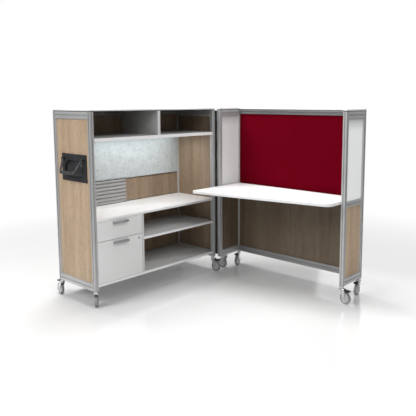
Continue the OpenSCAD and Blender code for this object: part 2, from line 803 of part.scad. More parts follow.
storage_half() fork(storage_rear_hinge);  // fork_storage_rear_hinge
storage_half() wheel(storage_rear_hinge);  // wheel_storage_rear_hinge
storage_half() brake(storage_rear_hinge);  // brake_storage_rear_hinge
desk_half() fork(desk_front_outer);  // fork_desk_front_outer
desk_half() wheel(desk_front_outer);  // wheel_desk_front_outer
desk_half() brake(desk_front_outer);  // brake_desk_front_outer
desk_half() fork(desk_front_hinge);  // fork_desk_front_hinge
desk_half() wheel(desk_front_hinge);  // wheel_desk_front_hinge
desk_half() brake(desk_front_hinge);  // brake_desk_front_hinge
desk_half() fork(desk_rear_outer);  // fork_desk_rear_outer
desk_half() wheel(desk_rear_outer);  // wheel_desk_rear_outer
desk_half() brake(desk_rear_outer);  // brake_desk_rear_outer
desk_half() fork(desk_rear_hinge);  // fork_desk_rear_hinge
desk_half() wheel(desk_rear_hinge);  // wheel_desk_rear_hinge
desk_half() brake(desk_rear_hinge);  // brake_desk_rear_hinge
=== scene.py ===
# Looks of the folding cubicle workstation: finishes, trims, cloth boards, castors, lights and camera
import json
import math

import bmesh
import bpy
import numpy as np
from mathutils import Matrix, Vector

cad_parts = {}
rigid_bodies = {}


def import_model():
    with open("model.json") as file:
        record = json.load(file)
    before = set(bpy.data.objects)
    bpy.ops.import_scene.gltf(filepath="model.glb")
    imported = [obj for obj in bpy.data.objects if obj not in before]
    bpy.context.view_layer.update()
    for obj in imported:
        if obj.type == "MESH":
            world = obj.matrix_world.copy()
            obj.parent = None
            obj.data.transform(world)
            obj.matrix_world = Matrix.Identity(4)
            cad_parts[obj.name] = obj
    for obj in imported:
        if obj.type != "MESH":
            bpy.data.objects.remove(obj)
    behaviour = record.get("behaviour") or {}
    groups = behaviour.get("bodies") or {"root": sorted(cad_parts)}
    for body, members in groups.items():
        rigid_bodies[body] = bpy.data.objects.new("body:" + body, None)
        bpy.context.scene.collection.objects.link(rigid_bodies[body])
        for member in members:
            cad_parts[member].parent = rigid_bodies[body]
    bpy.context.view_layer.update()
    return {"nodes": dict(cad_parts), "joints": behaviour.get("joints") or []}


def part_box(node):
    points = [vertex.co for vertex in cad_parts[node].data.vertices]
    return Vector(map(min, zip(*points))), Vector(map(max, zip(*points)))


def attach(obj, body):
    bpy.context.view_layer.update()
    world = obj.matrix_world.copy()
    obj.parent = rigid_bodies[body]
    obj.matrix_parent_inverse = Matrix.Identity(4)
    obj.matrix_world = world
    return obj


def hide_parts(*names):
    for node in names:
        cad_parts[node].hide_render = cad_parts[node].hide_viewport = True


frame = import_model()
print("frame loaded:", len(frame["nodes"]), "nodes")

# The long hinge's axis in metres. Each half has its own frame: along from the hinge, back from the axis, up
hingeX, hingeY = next(joint for joint in frame["joints"] if joint["name"] == "fold")["pos_m"][:2]


def storagePlace(points):
    # to the row frame: x is the hinge's less the first, y is the hinge's plus the second
    return np.stack([hingeX - points[:, 0], hingeY + points[:, 1], points[:, 2]], axis=1)


def deskPlace(points):
    # to the row frame: x is the hinge's plus the second, y is the hinge's less the first
    return np.stack([hingeX + points[:, 1], hingeY - points[:, 0], points[:, 2]], axis=1)


def localBox(node):
    # a node's lowest and highest corners in its own half's frame, in millimetres
    low, high = (np.array(corner) * 1000 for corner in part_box(node))
    x, y = hingeX * 1000, hingeY * 1000
    if frame["nodes"][node].parent.name.endswith("desk_half"):
        return np.array([y - high[1], low[0] - x, low[2]]), np.array([y - low[1], high[0] - x, high[2]])
    return np.array([x - high[0], low[1] - y, low[2]]), np.array([x - low[0], high[1] - y, high[2]])


(sideGap, frontGap, footZ), (halfW, storageBack, headZ) = localBox("storage_frame")
deskBack = localBox("desk_frame")[1][1]
midTop = localBox("red_tackboard")[0][2]
panelFace = halfW - localBox("outer_end_panel")[1][0]


class Field:
    # a socket whose value varies over a surface; sums and products of fields add Math nodes

    def __init__(self, finish, socket):
        self.finish = finish
        self.socket = socket

    def join(self, operation, first, second=0.0, clamp=False):
        return self.finish.value("ShaderNodeMath", {"operation": operation, "use_clamp": clamp},
                                 {0: first, 1: second})

    def __add__(self, other):
        return self.join("ADD", self, other)

    def __radd__(self, other):
        return self.join("ADD", other, self)

    def __sub__(self, other):
        return self.join("SUBTRACT", self, other)

    def __rsub__(self, other):
        return self.join("SUBTRACT", other, self)

    def __mul__(self, other):
        return self.join("MULTIPLY", self, other)

    def __rmul__(self, other):
        return self.join("MULTIPLY", other, self)

    def __truediv__(self, other):
        return self.join("DIVIDE", self, other)

    def __pow__(self, other):
        return self.join("POWER", self, other)

    def below(self, limit):
        return self.join("LESS_THAN", self, limit)

    def clipped(self):
        return self.join("ADD", self, clamp=True)

    def sine(self):
        return self.join("SINE", self)


def weighted(fields, shares):
    # the sum of every field times its share
    total = fields[0] * shares[0]
    for field, share in zip(fields[1:], shares[1:]):
        total = total + field * share
    return total


def scaled(colour, share):
    return tuple(part * share for part in colour)


class Finish:
    # one material: a Principled shader whose plain values are set on its own sockets

    def __init__(self, name, **plain):
        self.material = bpy.data.materials.new(name)
        self.material.use_nodes = True
        self.tree = self.material.node_tree
        self.tree.nodes.clear()
        out = self.add("ShaderNodeOutputMaterial")
        self.shader = self.add("ShaderNodeBsdfPrincipled",
                               sockets={key.replace("_", " "): value for key, value in plain.items()})
        self.tree.links.new(self.shader.outputs["BSDF"], out.inputs["Surface"])
        self.here = Field(self, self.add("ShaderNodeTexCoord").outputs["Object"])

    def add(self, kind, settings=None, sockets=None):
        # a node of this type, with its settings first and then its sockets' values or links
        node = self.tree.nodes.new(kind)
        for key, value in (settings or {}).items():
            if key == "stops":
                self.setStops(node.color_ramp, value)
            else:
                setattr(node, key, value)
        for key, value in (sockets or {}).items():
            if isinstance(value, Field):
                self.tree.links.new(value.socket, node.inputs[key])
            else:
                node.inputs[key].default_value = value
        return node

    def setStops(self, ramp, stops):
        while len(ramp.elements) > 1:
            ramp.elements.remove(ramp.elements[-1])
        for i, (at, colour) in enumerate(stops):
            stop = ramp.elements[0] if i == 0 else ramp.elements.new(at)
            stop.position = at
            stop.color = (*colour, 1.0)

    def value(self, kind, settings=None, sockets=None, output=0):
        return Field(self, self.add(kind, settings, sockets).outputs[output])

    def stretch(self, scale, turn=(0, 0, 0)):
        # object coordinates, scaled and then turned
        return self.value("ShaderNodeMapping", {"vector_type": "POINT"},
                          {"Vector": self.here, "Rotation": turn, "Scale": scale})

    def noise(self, vector, scale, detail=2.0, roughness=0.5, distortion=0.0):
        return self.value("ShaderNodeTexNoise", {}, {"Vector": vector, "Scale": scale, "Detail": detail,
                                                     "Roughness": roughness, "Distortion": distortion})

    def drawn(self, share, *noise):
        # noise drawn out along Z, where its scale is only a share
        return self.noise(self.stretch((1.0, 1.0, share)), *noise)

    def cells(self, scale):
        return self.value("ShaderNodeTexVoronoi", {"feature": "F1"}, {"Vector": self.here, "Scale": scale})

    def axes(self):
        split = self.add("ShaderNodeSeparateXYZ", sockets={"Vector": self.here})
        return [Field(self, output) for output in split.outputs]

    def ramp(self, field, stops):
        return self.value("ShaderNodeValToRGB", {"stops": stops}, {"Fac": field})

    def twoTone(self, field, low, high, span=(0.3, 0.7)):
        # from one colour to the other as the field crosses the span
        return self.ramp(field, zip(span, (low, high)))

    def blend(self, amount, first, second):
        colours = {6: (*first, 1.0) if isinstance(first, tuple) else first,
                   7: (*second, 1.0) if isinstance(second, tuple) else second}
        return self.value("ShaderNodeMix", {"data_type": "RGBA", "blend_type": "MIX"},
                          {0: amount, **colours}, 2)

    def relief(self, height, depth, strength):
        self.set("Normal", self.value("ShaderNodeBump", {}, {"Height": height, "Distance": depth,
                                                              "Strength": strength}))

    def rough(self, fields, spans, middle):
        # every field sways the roughness by its span, about the middle value
        self.set("Roughness", weighted(fields, spans) + (middle - sum(spans) / 2))

    def set(self, socket, field):
        self.tree.links.new(field.socket, self.shader.inputs[socket])


# Oak: a weighted sum of broad bands, vertical grain and slow sway, ramped from dark to pale, with dark
# pores. In every finish a noise is its scale per metre, detail, roughness and distortion, and a relief is
# its depth in metres and its strength
oak = {
    "dark": (0.36, 0.245, 0.155), "mid": (0.49, 0.355, 0.235), "pale": (0.60, 0.455, 0.315),
    "stops": (0.31, 0.45, 0.62), "toneShares": (0.62, 0.26, 0.12), "along": 0.022, "grain": (190.0, 3.0, 0.6),
    "bandAlong": 3, "bands": (13.0, 3.0, 0.55, 0.6), "swayAlong": 0.35, "sway": (2.2, 2.0),
    "poreAlong": 1.6, "pores": (620.0, 1.0, 0.5), "poreSpan": (0.30, 0.40), "poreShare": 0.72,
    "roughness": 0.46, "roughSpans": (0.16,), "specular": 0.35, "reliefShare": 0.5, "relief": (0.00012, 0.6)}


def oakFinish(name, share=1.0):
    f = Finish(name, Specular_IOR_Level=oak["specular"])
    along = oak["along"]
    sway = f.drawn(oak["swayAlong"], *oak["sway"])
    broad = f.drawn(along * oak["bandAlong"], *oak["bands"])
    grain = f.drawn(along, *oak["grain"])
    pores = f.drawn(along * oak["poreAlong"], *oak["pores"])
    tone = weighted((broad, grain, sway), oak["toneShares"]).clipped()
    # a share under one darkens every tone: the darker copies of the oak are painted shade
    tones = [scaled(oak[key], share) for key in ("dark", "mid", "pale")]
    base = f.ramp(tone, zip(oak["stops"], tones))
    pit = f.twoTone(pores, (1, 1, 1), (0, 0, 0), oak["poreSpan"])
    f.set("Base Color", f.blend(pit, base, scaled(tones[0], oak["poreShare"])))
    f.rough((grain,), oak["roughSpans"], oak["roughness"])
    pitDepth = f.value("ShaderNodeRGBToBW", {}, {"Color": pit})
    f.relief(grain * oak["reliefShare"] - pitDepth * oak["reliefShare"], *oak["relief"])
    return f.material


# Anodised bars: a weighted sum of lines drawn out along the bar and a soft haze, with small marks
aluminium = {
    "base": (0.56, 0.563, 0.565), "shaded": (0.36, 0.362, 0.365), "topRail": (0.215, 0.216, 0.218),
    "along": 0.004, "lines": (900.0, 2.0, 0.7), "haze": (6.0, 3.0, 0.6), "marks": 55.0,
    "toneShares": (0.35, 0.65), "low": 0.90, "high": 1.10, "roughness": 0.37, "roughSpans": (0.14, 0.10, 0.04),
    "metal": 0.45, "specular": 0.5, "relief": (0.00003, 0.5)}


def aluminiumFinish(name, axis, base=aluminium["base"], roughness=aluminium["roughness"],
                    metal=aluminium["metal"]):
    f = Finish(name, Metallic=metal, Specular_IOR_Level=aluminium["specular"])
    scale = [1.0, 1.0, 1.0]
    scale["XYZ".index(axis)] = aluminium["along"]
    lines = f.noise(f.stretch(scale), *aluminium["lines"])
    haze = f.noise(f.here, *aluminium["haze"])
    marks = f.cells(aluminium["marks"])
    tone = weighted((lines, haze), aluminium["toneShares"]).clipped()
    f.set("Base Color", f.twoTone(tone, scaled(base, aluminium["low"]), scaled(base, aluminium["high"])))
    f.rough((lines, haze, marks), aluminium["roughSpans"], roughness)
    f.relief(lines, *aluminium["relief"])
    return f.material


# White laminate and white board: faint orange peel, soft marks from hands and cleaning. The whiter copy of
# the laminate on the shelf under the lamp is painted lamp light
white = {
    "laminate": (0.90, 0.90, 0.895), "credenza": (0.98, 0.97, 0.97), "board": (0.68, 0.68, 0.675),
    "front": (0.84, 0.84, 0.835), "edge": (0.95, 0.95, 0.95), "low": 0.985, "span": (0.35, 0.65),
    "cloud": (3.5, 4.0, 0.6), "wipes": (14.0, 3.0, 0.6, 1.2), "wipeTurn": (0.2, 0.1, 0.6),
    "peel": (420.0, 1.0), "roughSpans": (0.05, 0.03), "coatSpan": 0.04, "coatRough": 0.12,
    "specular": 0.45, "relief": (0.00004, 0.35)}


def whiteFinish(name, key, roughness, coat):
    f = Finish(name, Coat_Roughness=white["coatRough"], Specular_IOR_Level=white["specular"])
    cloud = f.noise(f.here, *white["cloud"])
    wipes = f.noise(f.stretch((1.0, 1.0, 1.0), white["wipeTurn"]), *white["wipes"])
    peel = f.noise(f.here, *white["peel"])
    f.set("Base Color", f.twoTone(cloud, scaled(white[key], white["low"]), white[key], white["span"]))
    f.rough((wipes, cloud), white["roughSpans"], roughness)
    f.set("Coat Weight", wipes * white["coatSpan"] + coat)
    f.relief(peel, *white["relief"])
    return f.material


# Felt of the pinboard: a weighted sum of mottle, clumps and slanting fibres, ramped from fleck to pale
felt = {
    "fleck": (0.385, 0.43, 0.44), "mid": (0.54, 0.59, 0.60), "pale": (0.65, 0.695, 0.705),
    "stops": (0.36, 0.47, 0.60), "mottle": (60.0, 4.0, 0.62), "clumps": (17.0, 3.0, 0.55),
    "fibres": (900.0, 2.0, 0.6, 1.0), "fibreScale": (1.0, 1.0, 2.4), "fibreTurn": (0.0, 0.5, 0.0),
    "toneShares": (0.5, 0.25, 0.25), "roughness": 0.92, "roughSpans": (0.1,), "specular": 0.1,
    "sheen": 0.25, "sheenRough": 0.6, "reliefShares": (0.6, 0.4), "relief": (0.0007, 0.7)}


def feltFinish(name):
    f = Finish(name, Specular_IOR_Level=felt["specular"], Sheen_Weight=felt["sheen"],
               Sheen_Roughness=felt["sheenRough"])
    mottle = f.noise(f.here, *felt["mottle"])
    clumps = f.noise(f.here, *felt["clumps"])
    fibres = f.noise(f.stretch(felt["fibreScale"], felt["fibreTurn"]), *felt["fibres"])
    tone = weighted((mottle, clumps, fibres), felt["toneShares"]).clipped()
    f.set("Base Color", f.ramp(tone, zip(felt["stops"], (felt["fleck"], felt["mid"], felt["pale"]))))
    f.rough((mottle,), felt["roughSpans"], felt["roughness"])
    f.relief(weighted((fibres, mottle), felt["reliefShares"]), *felt["relief"])
    return f.material


# Red cloth: a plain weave, the product of two sines, with slubs along both threads
redCloth = {
    "deep": (0.105, 0.0003, 0.005), "lit": (0.155, 0.0006, 0.009), "threads": 1300.0, "slubAlong": 0.06,
    "slubs": (240.0, 2.0, 0.6), "cloud": (5.0, 3.0, 0.5), "toneShares": (0.25, 0.3, 0.3, 0.15),
    "roughness": 0.95, "roughSpans": (0.06,), "specular": 0.02, "reliefShares": (0.6, 0.2, 0.2),
    "relief": (0.0003, 0.6)}


def clothFinish(name):
    f = Finish(name, Specular_IOR_Level=redCloth["specular"])
    across, up = f.axes()[1:]
    turns = redCloth["threads"] * math.pi
    weave = (across * turns).sine() * (up * turns).sine() * 0.5 + 0.5
    along = redCloth["slubAlong"]
    slubs = f.drawn(along, *redCloth["slubs"])
    rows = f.noise(f.stretch((along, along, 1.0)), *redCloth["slubs"])
    cloud = f.noise(f.here, *redCloth["cloud"])
    tone = weighted((weave, slubs, rows, cloud), redCloth["toneShares"]).clipped()
    f.set("Base Color", f.twoTone(tone, redCloth["deep"], redCloth["lit"]))
    f.rough((weave,), redCloth["roughSpans"], redCloth["roughness"])
    f.relief(weighted((weave, slubs, rows), redCloth["reliefShares"]), *redCloth["relief"])
    return f.material


# Frosted sheet: milky, with a fine etched surface, with painted shade under the top rail. The outer sheet,
# below glowPast on Y, has a painted glow that stands for the light behind it
frost = {
    "colour": (0.88, 0.895, 0.895), "low": 0.965, "through": 0.05, "index": 1.46, "glow": 0.17,
    "glowPast": -0.2, "topDark": 0.5, "topZ": 1.322, "topFade": 0.09, "topShape": 0.6, "grit": (1400.0, 2.0),
    "cloud": (4.0, 3.0), "roughness": 0.60, "roughSpans": (0.1,), "relief": (0.00005, 0.4)}


def frostFinish(name):
    f = Finish(name, Transmission_Weight=frost["through"], IOR=frost["index"], Emission_Strength=frost["glow"])
    grit = f.noise(f.here, *frost["grit"])
    cloud = f.noise(f.here, *frost["cloud"])
    low = scaled(frost["colour"], frost["low"])
    y, z = f.axes()[1:]
    # painted shade: the colour darkens towards the top, under the top rail
    clear = ((frost["topZ"] - z) / frost["topFade"]).clipped() ** frost["topShape"]
    f.set("Base Color", f.blend(clear, scaled(low, frost["topDark"]), f.twoTone(cloud, low, frost["colour"])))
    # painted glow, on the outer sheet alone
    f.set("Emission Color", f.twoTone(y.below(frost["glowPast"]) * clear, (0, 0, 0), (1, 1, 1), (0.0, 1.0)))
    f.rough((grit,), frost["roughSpans"], frost["roughness"])
    f.relief(grit, *frost["relief"])
    return f.material


# Moulded and coated darks: fine leather-like texture, paler where hands rub
dark = {
    "rub": (0.11, 0.11, 0.115), "rubShares": (0.5, 0.5), "rubFrom": 0.52, "rubGain": 6.0,
    "cloud": (18.0, 3.0, 0.6), "scuffAlong": 0.3, "scuffs": (130.0, 3.0, 0.7), "low": 0.8, "high": 1.25,
    "roughSpans": (0.2, 0.1), "specular": 0.5, "strength": 0.5}


def darkFinish(name, colour, roughness, wear, grit=700.0, depth=0.00012):
    f = Finish(name, Specular_IOR_Level=dark["specular"])
    cloud = f.noise(f.here, *dark["cloud"])
    scuffs = f.drawn(dark["scuffAlong"], *dark["scuffs"])
    rub = ((weighted((cloud, scuffs), dark["rubShares"]) - dark["rubFrom"]) * dark["rubGain"] * wear).clipped()
    base = f.twoTone(cloud, scaled(colour, dark["low"]), scaled(colour, dark["high"]))
    f.set("Base Color", f.blend(rub, base, dark["rub"]))
    f.rough((scuffs, cloud), dark["roughSpans"], roughness)
    f.relief(f.cells(grit), depth, dark["strength"])
    return f.material


# Polished metal: smudges and hairline scratches
polish = {
    "smudge": (45.0, 3.0, 0.6), "hair": (1600.0, 2.0), "hairScale": (1.0, 1.0, 0.05),
    "hairTurn": (0.3, 0.9, 0.2), "low": 0.9, "roughSpans": (0.14, 0.06), "relief": (0.00002, 0.3)}


def polishFinish(name, colour, roughness):
    f = Finish(name, Metallic=1.0)
    smudge = f.noise(f.here, *polish["smudge"])
    hair = f.noise(f.stretch(polish["hairScale"], polish["hairTurn"]), *polish["hair"])
    f.set("Base Color", f.twoTone(smudge, scaled(colour, polish["low"]), colour))
    f.rough((smudge, hair), polish["roughSpans"], roughness)
    f.relief(hair, *polish["relief"])
    return f.material


# Coated sheet metal: a very fine orange peel
coating = {
    "peel": (800.0, 2.0), "cloud": (9.0, 3.0), "low": 0.94, "roughSpans": (0.1, 0.08), "specular": 0.5,
    "relief": (0.00004, 0.4)}


def coatFinish(name, colour, roughness=0.42, metal=0.0):
    f = Finish(name, Metallic=metal, Specular_IOR_Level=coating["specular"])
    peel = f.noise(f.here, *coating["peel"])
    cloud = f.noise(f.here, *coating["cloud"])
    f.set("Base Color", f.twoTone(cloud, scaled(colour, coating["low"]), colour))
    f.rough((peel, cloud), coating["roughSpans"], roughness)
    f.relief(peel, *coating["relief"])
    return f.material


# Lamp's diffuser: soft dots of light behind a milky strip
lamp = {
    "glow": 3.6, "roughness": 0.4, "dots": (70.0, 1.0), "dotScale": (1.0, 0.2, 1.0), "span": (0.2, 0.8),
    "body": ((0.86, 0.87, 0.88), (0.95, 0.96, 0.97)), "light": ((0.74, 0.90, 0.97), (0.88, 0.98, 1.0))}


def lampFinish(name):
    f = Finish(name, Roughness=lamp["roughness"], Emission_Strength=lamp["glow"])
    dots = f.noise(f.stretch(lamp["dotScale"]), *lamp["dots"])
    f.set("Base Color", f.twoTone(dots, *lamp["body"], lamp["span"]))
    f.set("Emission Color", f.twoTone(dots, *lamp["light"], lamp["span"]))
    return f.material


# After the material's name: an oak's share of its tones, under one in the darker copies that paint shade; a
# bar's axis, colour, roughness and metal; a white's colour, roughness and coat; a dark's colour, roughness,
# wear, cells and depth; a metal's colour and roughness; a coated sheet's colour, roughness and metal
finishes = {
    "oak": oakFinish("oak_boards"),
    # a darker copy of the same oak: painted shade for the back and hinge-end panels inside the alcove
    "innerOak": oakFinish("inner_oak_boards", 0.59),
    # a much darker copy of the same oak: painted shade for the desk's back panel and the hinge side of its end
    # panels, under the desktop
    "smokedOak": oakFinish("smoked_oak_board", 0.34),
    "barX": aluminiumFinish("anodised_bar_x", "X"),
    "barY": aluminiumFinish("anodised_bar_y", "Y"),
    "barZ": aluminiumFinish("anodised_bar_z", "Z"),
    # the rail greys below are darker copies of the bar finish: painted shade on the top and back rails
    "railX": aluminiumFinish("anodised_rail_x", "X", aluminium["shaded"]),
    "railY": aluminiumFinish("anodised_rail_y", "Y", aluminium["shaded"]),
    "topRail": aluminiumFinish("anodised_top_rail", "Y", aluminium["topRail"]),
    "slat": aluminiumFinish("anodised_slats", "X", (0.42, 0.412, 0.408), 0.43, 0.15),
    "slot": coatFinish("slot_strip", (0.33, 0.325, 0.32), 0.5),
    "laminate": whiteFinish("white_laminate", "laminate", 0.48, 0.03),
    # a whiter copy of the laminate: painted lamp light on the shelf under the lamp
    "credenza": whiteFinish("white_shelf_laminate", "credenza", 0.40, 0.04),
    "board": whiteFinish("white_board", "board", 0.46, 0.02),
    "front": whiteFinish("white_front", "front", 0.46, 0.02),
    "edge": whiteFinish("white_edge", "edge", 0.44, 0.02),
    "felt": feltFinish("pinboard_felt"),
    "red": clothFinish("red_cloth"),
    "frost": frostFinish("frosted_sheet"),
    "plastic": darkFinish("black_moulding", (0.018, 0.019, 0.021), 0.46, 0.25),
    "bail": darkFinish("bail_coat", (0.035, 0.036, 0.038), 0.40, 0.7, 1500.0, 0.00004),
    "hinge": darkFinish("hinge_coat", (0.012, 0.012, 0.013), 0.38, 0.2, 1500.0, 0.00004),
    # black: the real seals along the hinge, and the painted shade bands and shadow lines
    "seal": darkFinish("black_seal", (0.010, 0.010, 0.011), 0.62, 0.1, 1300.0, 0.00005),
    "brake": darkFinish("brake_moulding", (0.014, 0.014, 0.015), 0.30, 0.3, 1100.0, 0.00005),
    "tyre": darkFinish("wheel_tread", (0.29, 0.293, 0.297), 0.45, 0.1, 1200.0, 0.00006),
    "chrome": polishFinish("polished_chrome", (0.80, 0.80, 0.81), 0.14),
    "bezel": polishFinish("lock_chrome", (0.74, 0.74, 0.75), 0.2),
    "steel": polishFinish("dark_steel", (0.30, 0.30, 0.31), 0.35),
    "zinc": polishFinish("zinc_plate", (0.60, 0.61, 0.62), 0.36),
    "bead": coatFinish("panel_bead", (0.62, 0.62, 0.62), 0.4, 0.4),
    "rim": coatFinish("wheel_rim", (0.62, 0.625, 0.63), 0.34, 0.2),
    "pull": coatFinish("pull_coat", (0.34, 0.34, 0.345), 0.36, 0.3),
    "tray": coatFinish("tray_coat", (0.66, 0.66, 0.66)),
    "arm": coatFinish("arm_coat", (0.11, 0.112, 0.116)),
    "lampBody": coatFinish("lamp_body", (0.55, 0.55, 0.55)),
    "lamp": lampFinish("lamp_lens"),
}
print("finishes made:", len(finishes))


# Surfaces. A shell is its points in millimetres in a half's own frame, its face corners in a row,
# and the number of corners of each face
def ringFaces(rows, columns, closedRows=False):
    # four-cornered faces between neighbouring rings of a grid whose rings are closed
    row = np.arange(rows if closedRows else rows - 1)[:, None]
    column = np.arange(columns)[None, :]
    lower, upper, after = row * columns, (row + 1) % rows * columns, (column + 1) % columns
    quads = np.broadcast_arrays(lower + column, lower + after, upper + after, upper + column)
    return np.stack(quads, axis=-1).ravel()


def tube(rings, closedRows=False, caps=True):
    # the wall through a row of rings, with a flat face over each end
    rows, columns = rings.shape[:2]
    corners = ringFaces(rows, columns, closedRows)
    sizes = np.full(len(corners) // 4, 4)
    if caps and not closedRows:
        ends = np.arange(columns)
        corners = np.concatenate([corners, ends[::-1], ends + (rows - 1) * columns])
        sizes = np.concatenate([sizes, [columns, columns]])
    return rings.reshape(-1, 3), corners, sizes


def together(shells):
    # one shell of many: the corners of each count on from the points of those before it
    points, corners, sizes = zip(*shells)
    starts = np.cumsum([0] + [len(some) for some in points[:-1]])
    moved = [some + start for some, start in zip(corners, starts)]
    return np.concatenate(points), np.concatenate(moved), np.concatenate(sizes)


meshRules = {"mergeMetres": 1e-6, "sharpDegrees": 32}


def addPiece(name, body, finish, shell, replaces=(), place=None):
    # a mesh whose shell stands in its own half's frame, unless another place is given
    place = place or (deskPlace if body == "desk_half" else storagePlace)
    points, corners, sizes = shell
    points = place(points / 1000)
    mesh = bpy.data.meshes.new(name)
    mesh.vertices.add(len(points))
    mesh.vertices.foreach_set("co", points.ravel())
    mesh.loops.add(len(corners))
    mesh.loops.foreach_set("vertex_index", corners)
    mesh.polygons.add(len(sizes))
    mesh.polygons.foreach_set("loop_start", np.concatenate([[0], np.cumsum(sizes)[:-1]]))
    mesh.update(calc_edges=True)
    build = bmesh.new()
    build.from_mesh(mesh)
    bmesh.ops.remove_doubles(build, verts=build.verts, dist=meshRules["mergeMetres"])
    bmesh.ops.recalc_face_normals(build, faces=build.faces)
    build.to_mesh(mesh)
    build.free()
    mesh.polygons.foreach_set("use_smooth", np.ones(len(mesh.polygons), bool))
    mesh.set_sharp_from_angle(angle=math.radians(meshRules["sharpDegrees"]))
    mesh.materials.append(finishes[finish])
    piece = bpy.data.objects.new(name, mesh)
    bpy.context.scene.collection.objects.link(piece)
    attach(piece, body)
    for node in replaces:
        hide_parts(node)


def acrossAxes(axis):
    return [i for i in range(3) if i != axis]


def unitRows(vectors):
    return vectors / np.maximum(np.linalg.norm(vectors, axis=-1, keepdims=True), 1e-12)


def cornerNormals(outline):
    # unit normals, to the left of the run, of the stretch before and after every corner
    into = unitRows(outline - np.roll(outline, 1, axis=0))
    onward = unitRows(np.roll(outline, -1, axis=0) - outline)
    return np.stack([-into[:, 1], into[:, 0]], axis=1), np.stack([-onward[:, 1], onward[:, 0]], axis=1)


def mitres(outline):
    # each corner's move that shifts both its sides inwards by one: the sum of their normals over one plus
    # the product of their normals
    before, after = cornerNormals(outline)
    return (before + after) / (1 + (before * after).sum(axis=1, keepdims=True))


def rounded(outline, radii, steps=5):
    # each corner becomes an arc: its centre on the mitre, its points on normals turned from one side's
    # to the next
    outline = np.array(outline, float)
    radii = np.broadcast_to(np.array(radii, float), len(outline))[:, None]
    before, after = cornerNormals(outline)
    bend = np.sign(before[:, 0] * after[:, 1] - before[:, 1] * after[:, 0])[:, None]
    centre = outline + bend * radii * mitres(outline)
    share = np.linspace(0, 1, steps)[None, :, None]
    angle = np.arccos(np.clip((before * after).sum(axis=1), -1, 1))[:, None, None]
    swing = np.sin((1 - share) * angle) * before[:, None] + np.sin(share * angle) * after[:, None]
    swing = np.where(angle < 1e-4, before[:, None], swing / np.maximum(np.sin(angle), 1e-9))
    return (centre[:, None] - bend[:, None] * radii[:, None] * swing).reshape(-1, 2)


def rectangle(low, high):
    # four corners, anticlockwise from the lowest
    return np.array([[low[0], low[1]], [high[0], low[1]], [high[0], high[1]], [low[0], high[1]]], float)


def extruded(outline, low, high, axis):
    # an outline carried straight along one axis
    rings = np.empty((2, len(outline), 3))
    rings[:, :, acrossAxes(axis)] = outline
    rings[0, :, axis], rings[1, :, axis] = low, high
    return tube(rings)


def easedBoard(outline, low, high, ease, axis=2, steps=4):
    # an outline carried along an axis, drawn in near both faces along a quarter circle of the radius ease
    angle = np.linspace(0, np.pi / 2, steps)
    drawn = np.concatenate([ease * (1 - np.sin(angle)), ease * (1 - np.sin(angle[::-1]))])
    along = np.concatenate([low + ease * (1 - np.cos(angle)), high - ease * (1 - np.cos(angle[::-1]))])
    rings = np.empty((2 * steps, len(outline), 3))
    rings[:, :, acrossAxes(axis)] = outline + drawn[:, None, None] * mitres(outline)
    rings[:, :, axis] = along[:, None]
    return tube(rings)


def turned(profile, centre, axis, steps=48, closed=False):
    # a profile of (radius, distance along the axis) turned about the axis through the centre
    angle = np.arange(steps) * 2 * np.pi / steps
    profile = np.array(profile, float)
    across = acrossAxes(axis)
    rings = np.empty((len(profile), steps, 3))
    rings[:, :, across[0]] = profile[:, :1] * np.cos(angle)
    rings[:, :, across[1]] = profile[:, :1] * np.sin(angle)
    rings[:, :, axis] = profile[:, 1:]
    return tube(rings + np.array(centre, float), closedRows=closed, caps=False)


def swept(path, side, wide, thick, steps=20):
    # a rounded strap, |a|^3 + |b|^3 = 1 across, carried along a path; side is normal to its broad face
    angle = np.arange(steps) * 2 * np.pi / steps
    a = np.sign(np.cos(angle)) * np.abs(np.cos(angle)) ** (2 / 3)
    b = np.sign(np.sin(angle)) * np.abs(np.sin(angle)) ** (2 / 3)
    edge = unitRows(np.cross(side, unitRows(np.gradient(path, axis=0))))
    return tube(path[:, None] + edge[:, None] * a[None, :, None] * wide[:, None, None] / 2
                + side * b[None, :, None] * thick[:, None, None] / 2)


def rimStrip(low, high, plane, wide, proud, axis):
    # a quarter-round bead carried round a rectangle inside its corners, mitred, proud of the plane
    angle = np.linspace(0, np.pi / 2, 5)
    inward = np.concatenate([[0.0], wide * np.sin(angle[::-1])])
    corners = rectangle(low, high)
    toMiddle = np.sign((np.array(low) + np.array(high)) / 2 - corners)
    rings = np.empty((4, len(inward), 3))
    rings[:, :, acrossAxes(axis)] = corners[:, None] + toMiddle[:, None] * inward[None, :, None]
    rings[:, :, axis] = plane + np.concatenate([[0.0], proud * np.cos(angle[::-1])])
    return tube(rings, closedRows=True)


# Aluminium bars: undercut grooves on the open faces, plain slots where a panel stands. A half's middle
# holds the tops of its extra rails, and its ends, top and backs are its rails' finishes; the top and back
# rails' darker greys are painted shade
bars = {
    "wide": 30.0, "endTop": 50.0, "backTop": 36.0, "foot": 50.0, "middle": 40.0, "corner": 1.2, "gap": 0.2,
    "groove": np.array([(-4.5, 0), (-4, -0.5), (-4, -1.9), (-6.6, -1.9), (-6.6, -3.2), (-3.8, -5.8),
                        (3.8, -5.8), (6.6, -3.2), (6.6, -1.9), (4, -1.9), (4, -0.5), (4.5, 0)], float),
    "slot": np.array([(-5.5, 0), (-5, -0.5), (-5, -5.2), (5, -5.2), (5, -0.5), (5.5, 0)], float),
    "plain": np.zeros((0, 2))}
pastPost = bars["wide"] + bars["gap"]
halves = {
    "storage": {"body": "storage", "back": storageBack, "middle": [], "ends": "barY", "top": "railX",
                "backs": "railX"},
    "desk": {"body": "desk_half", "back": deskBack, "middle": [midTop], "ends": "barX", "top": "topRail",
             "backs": "railY"}}


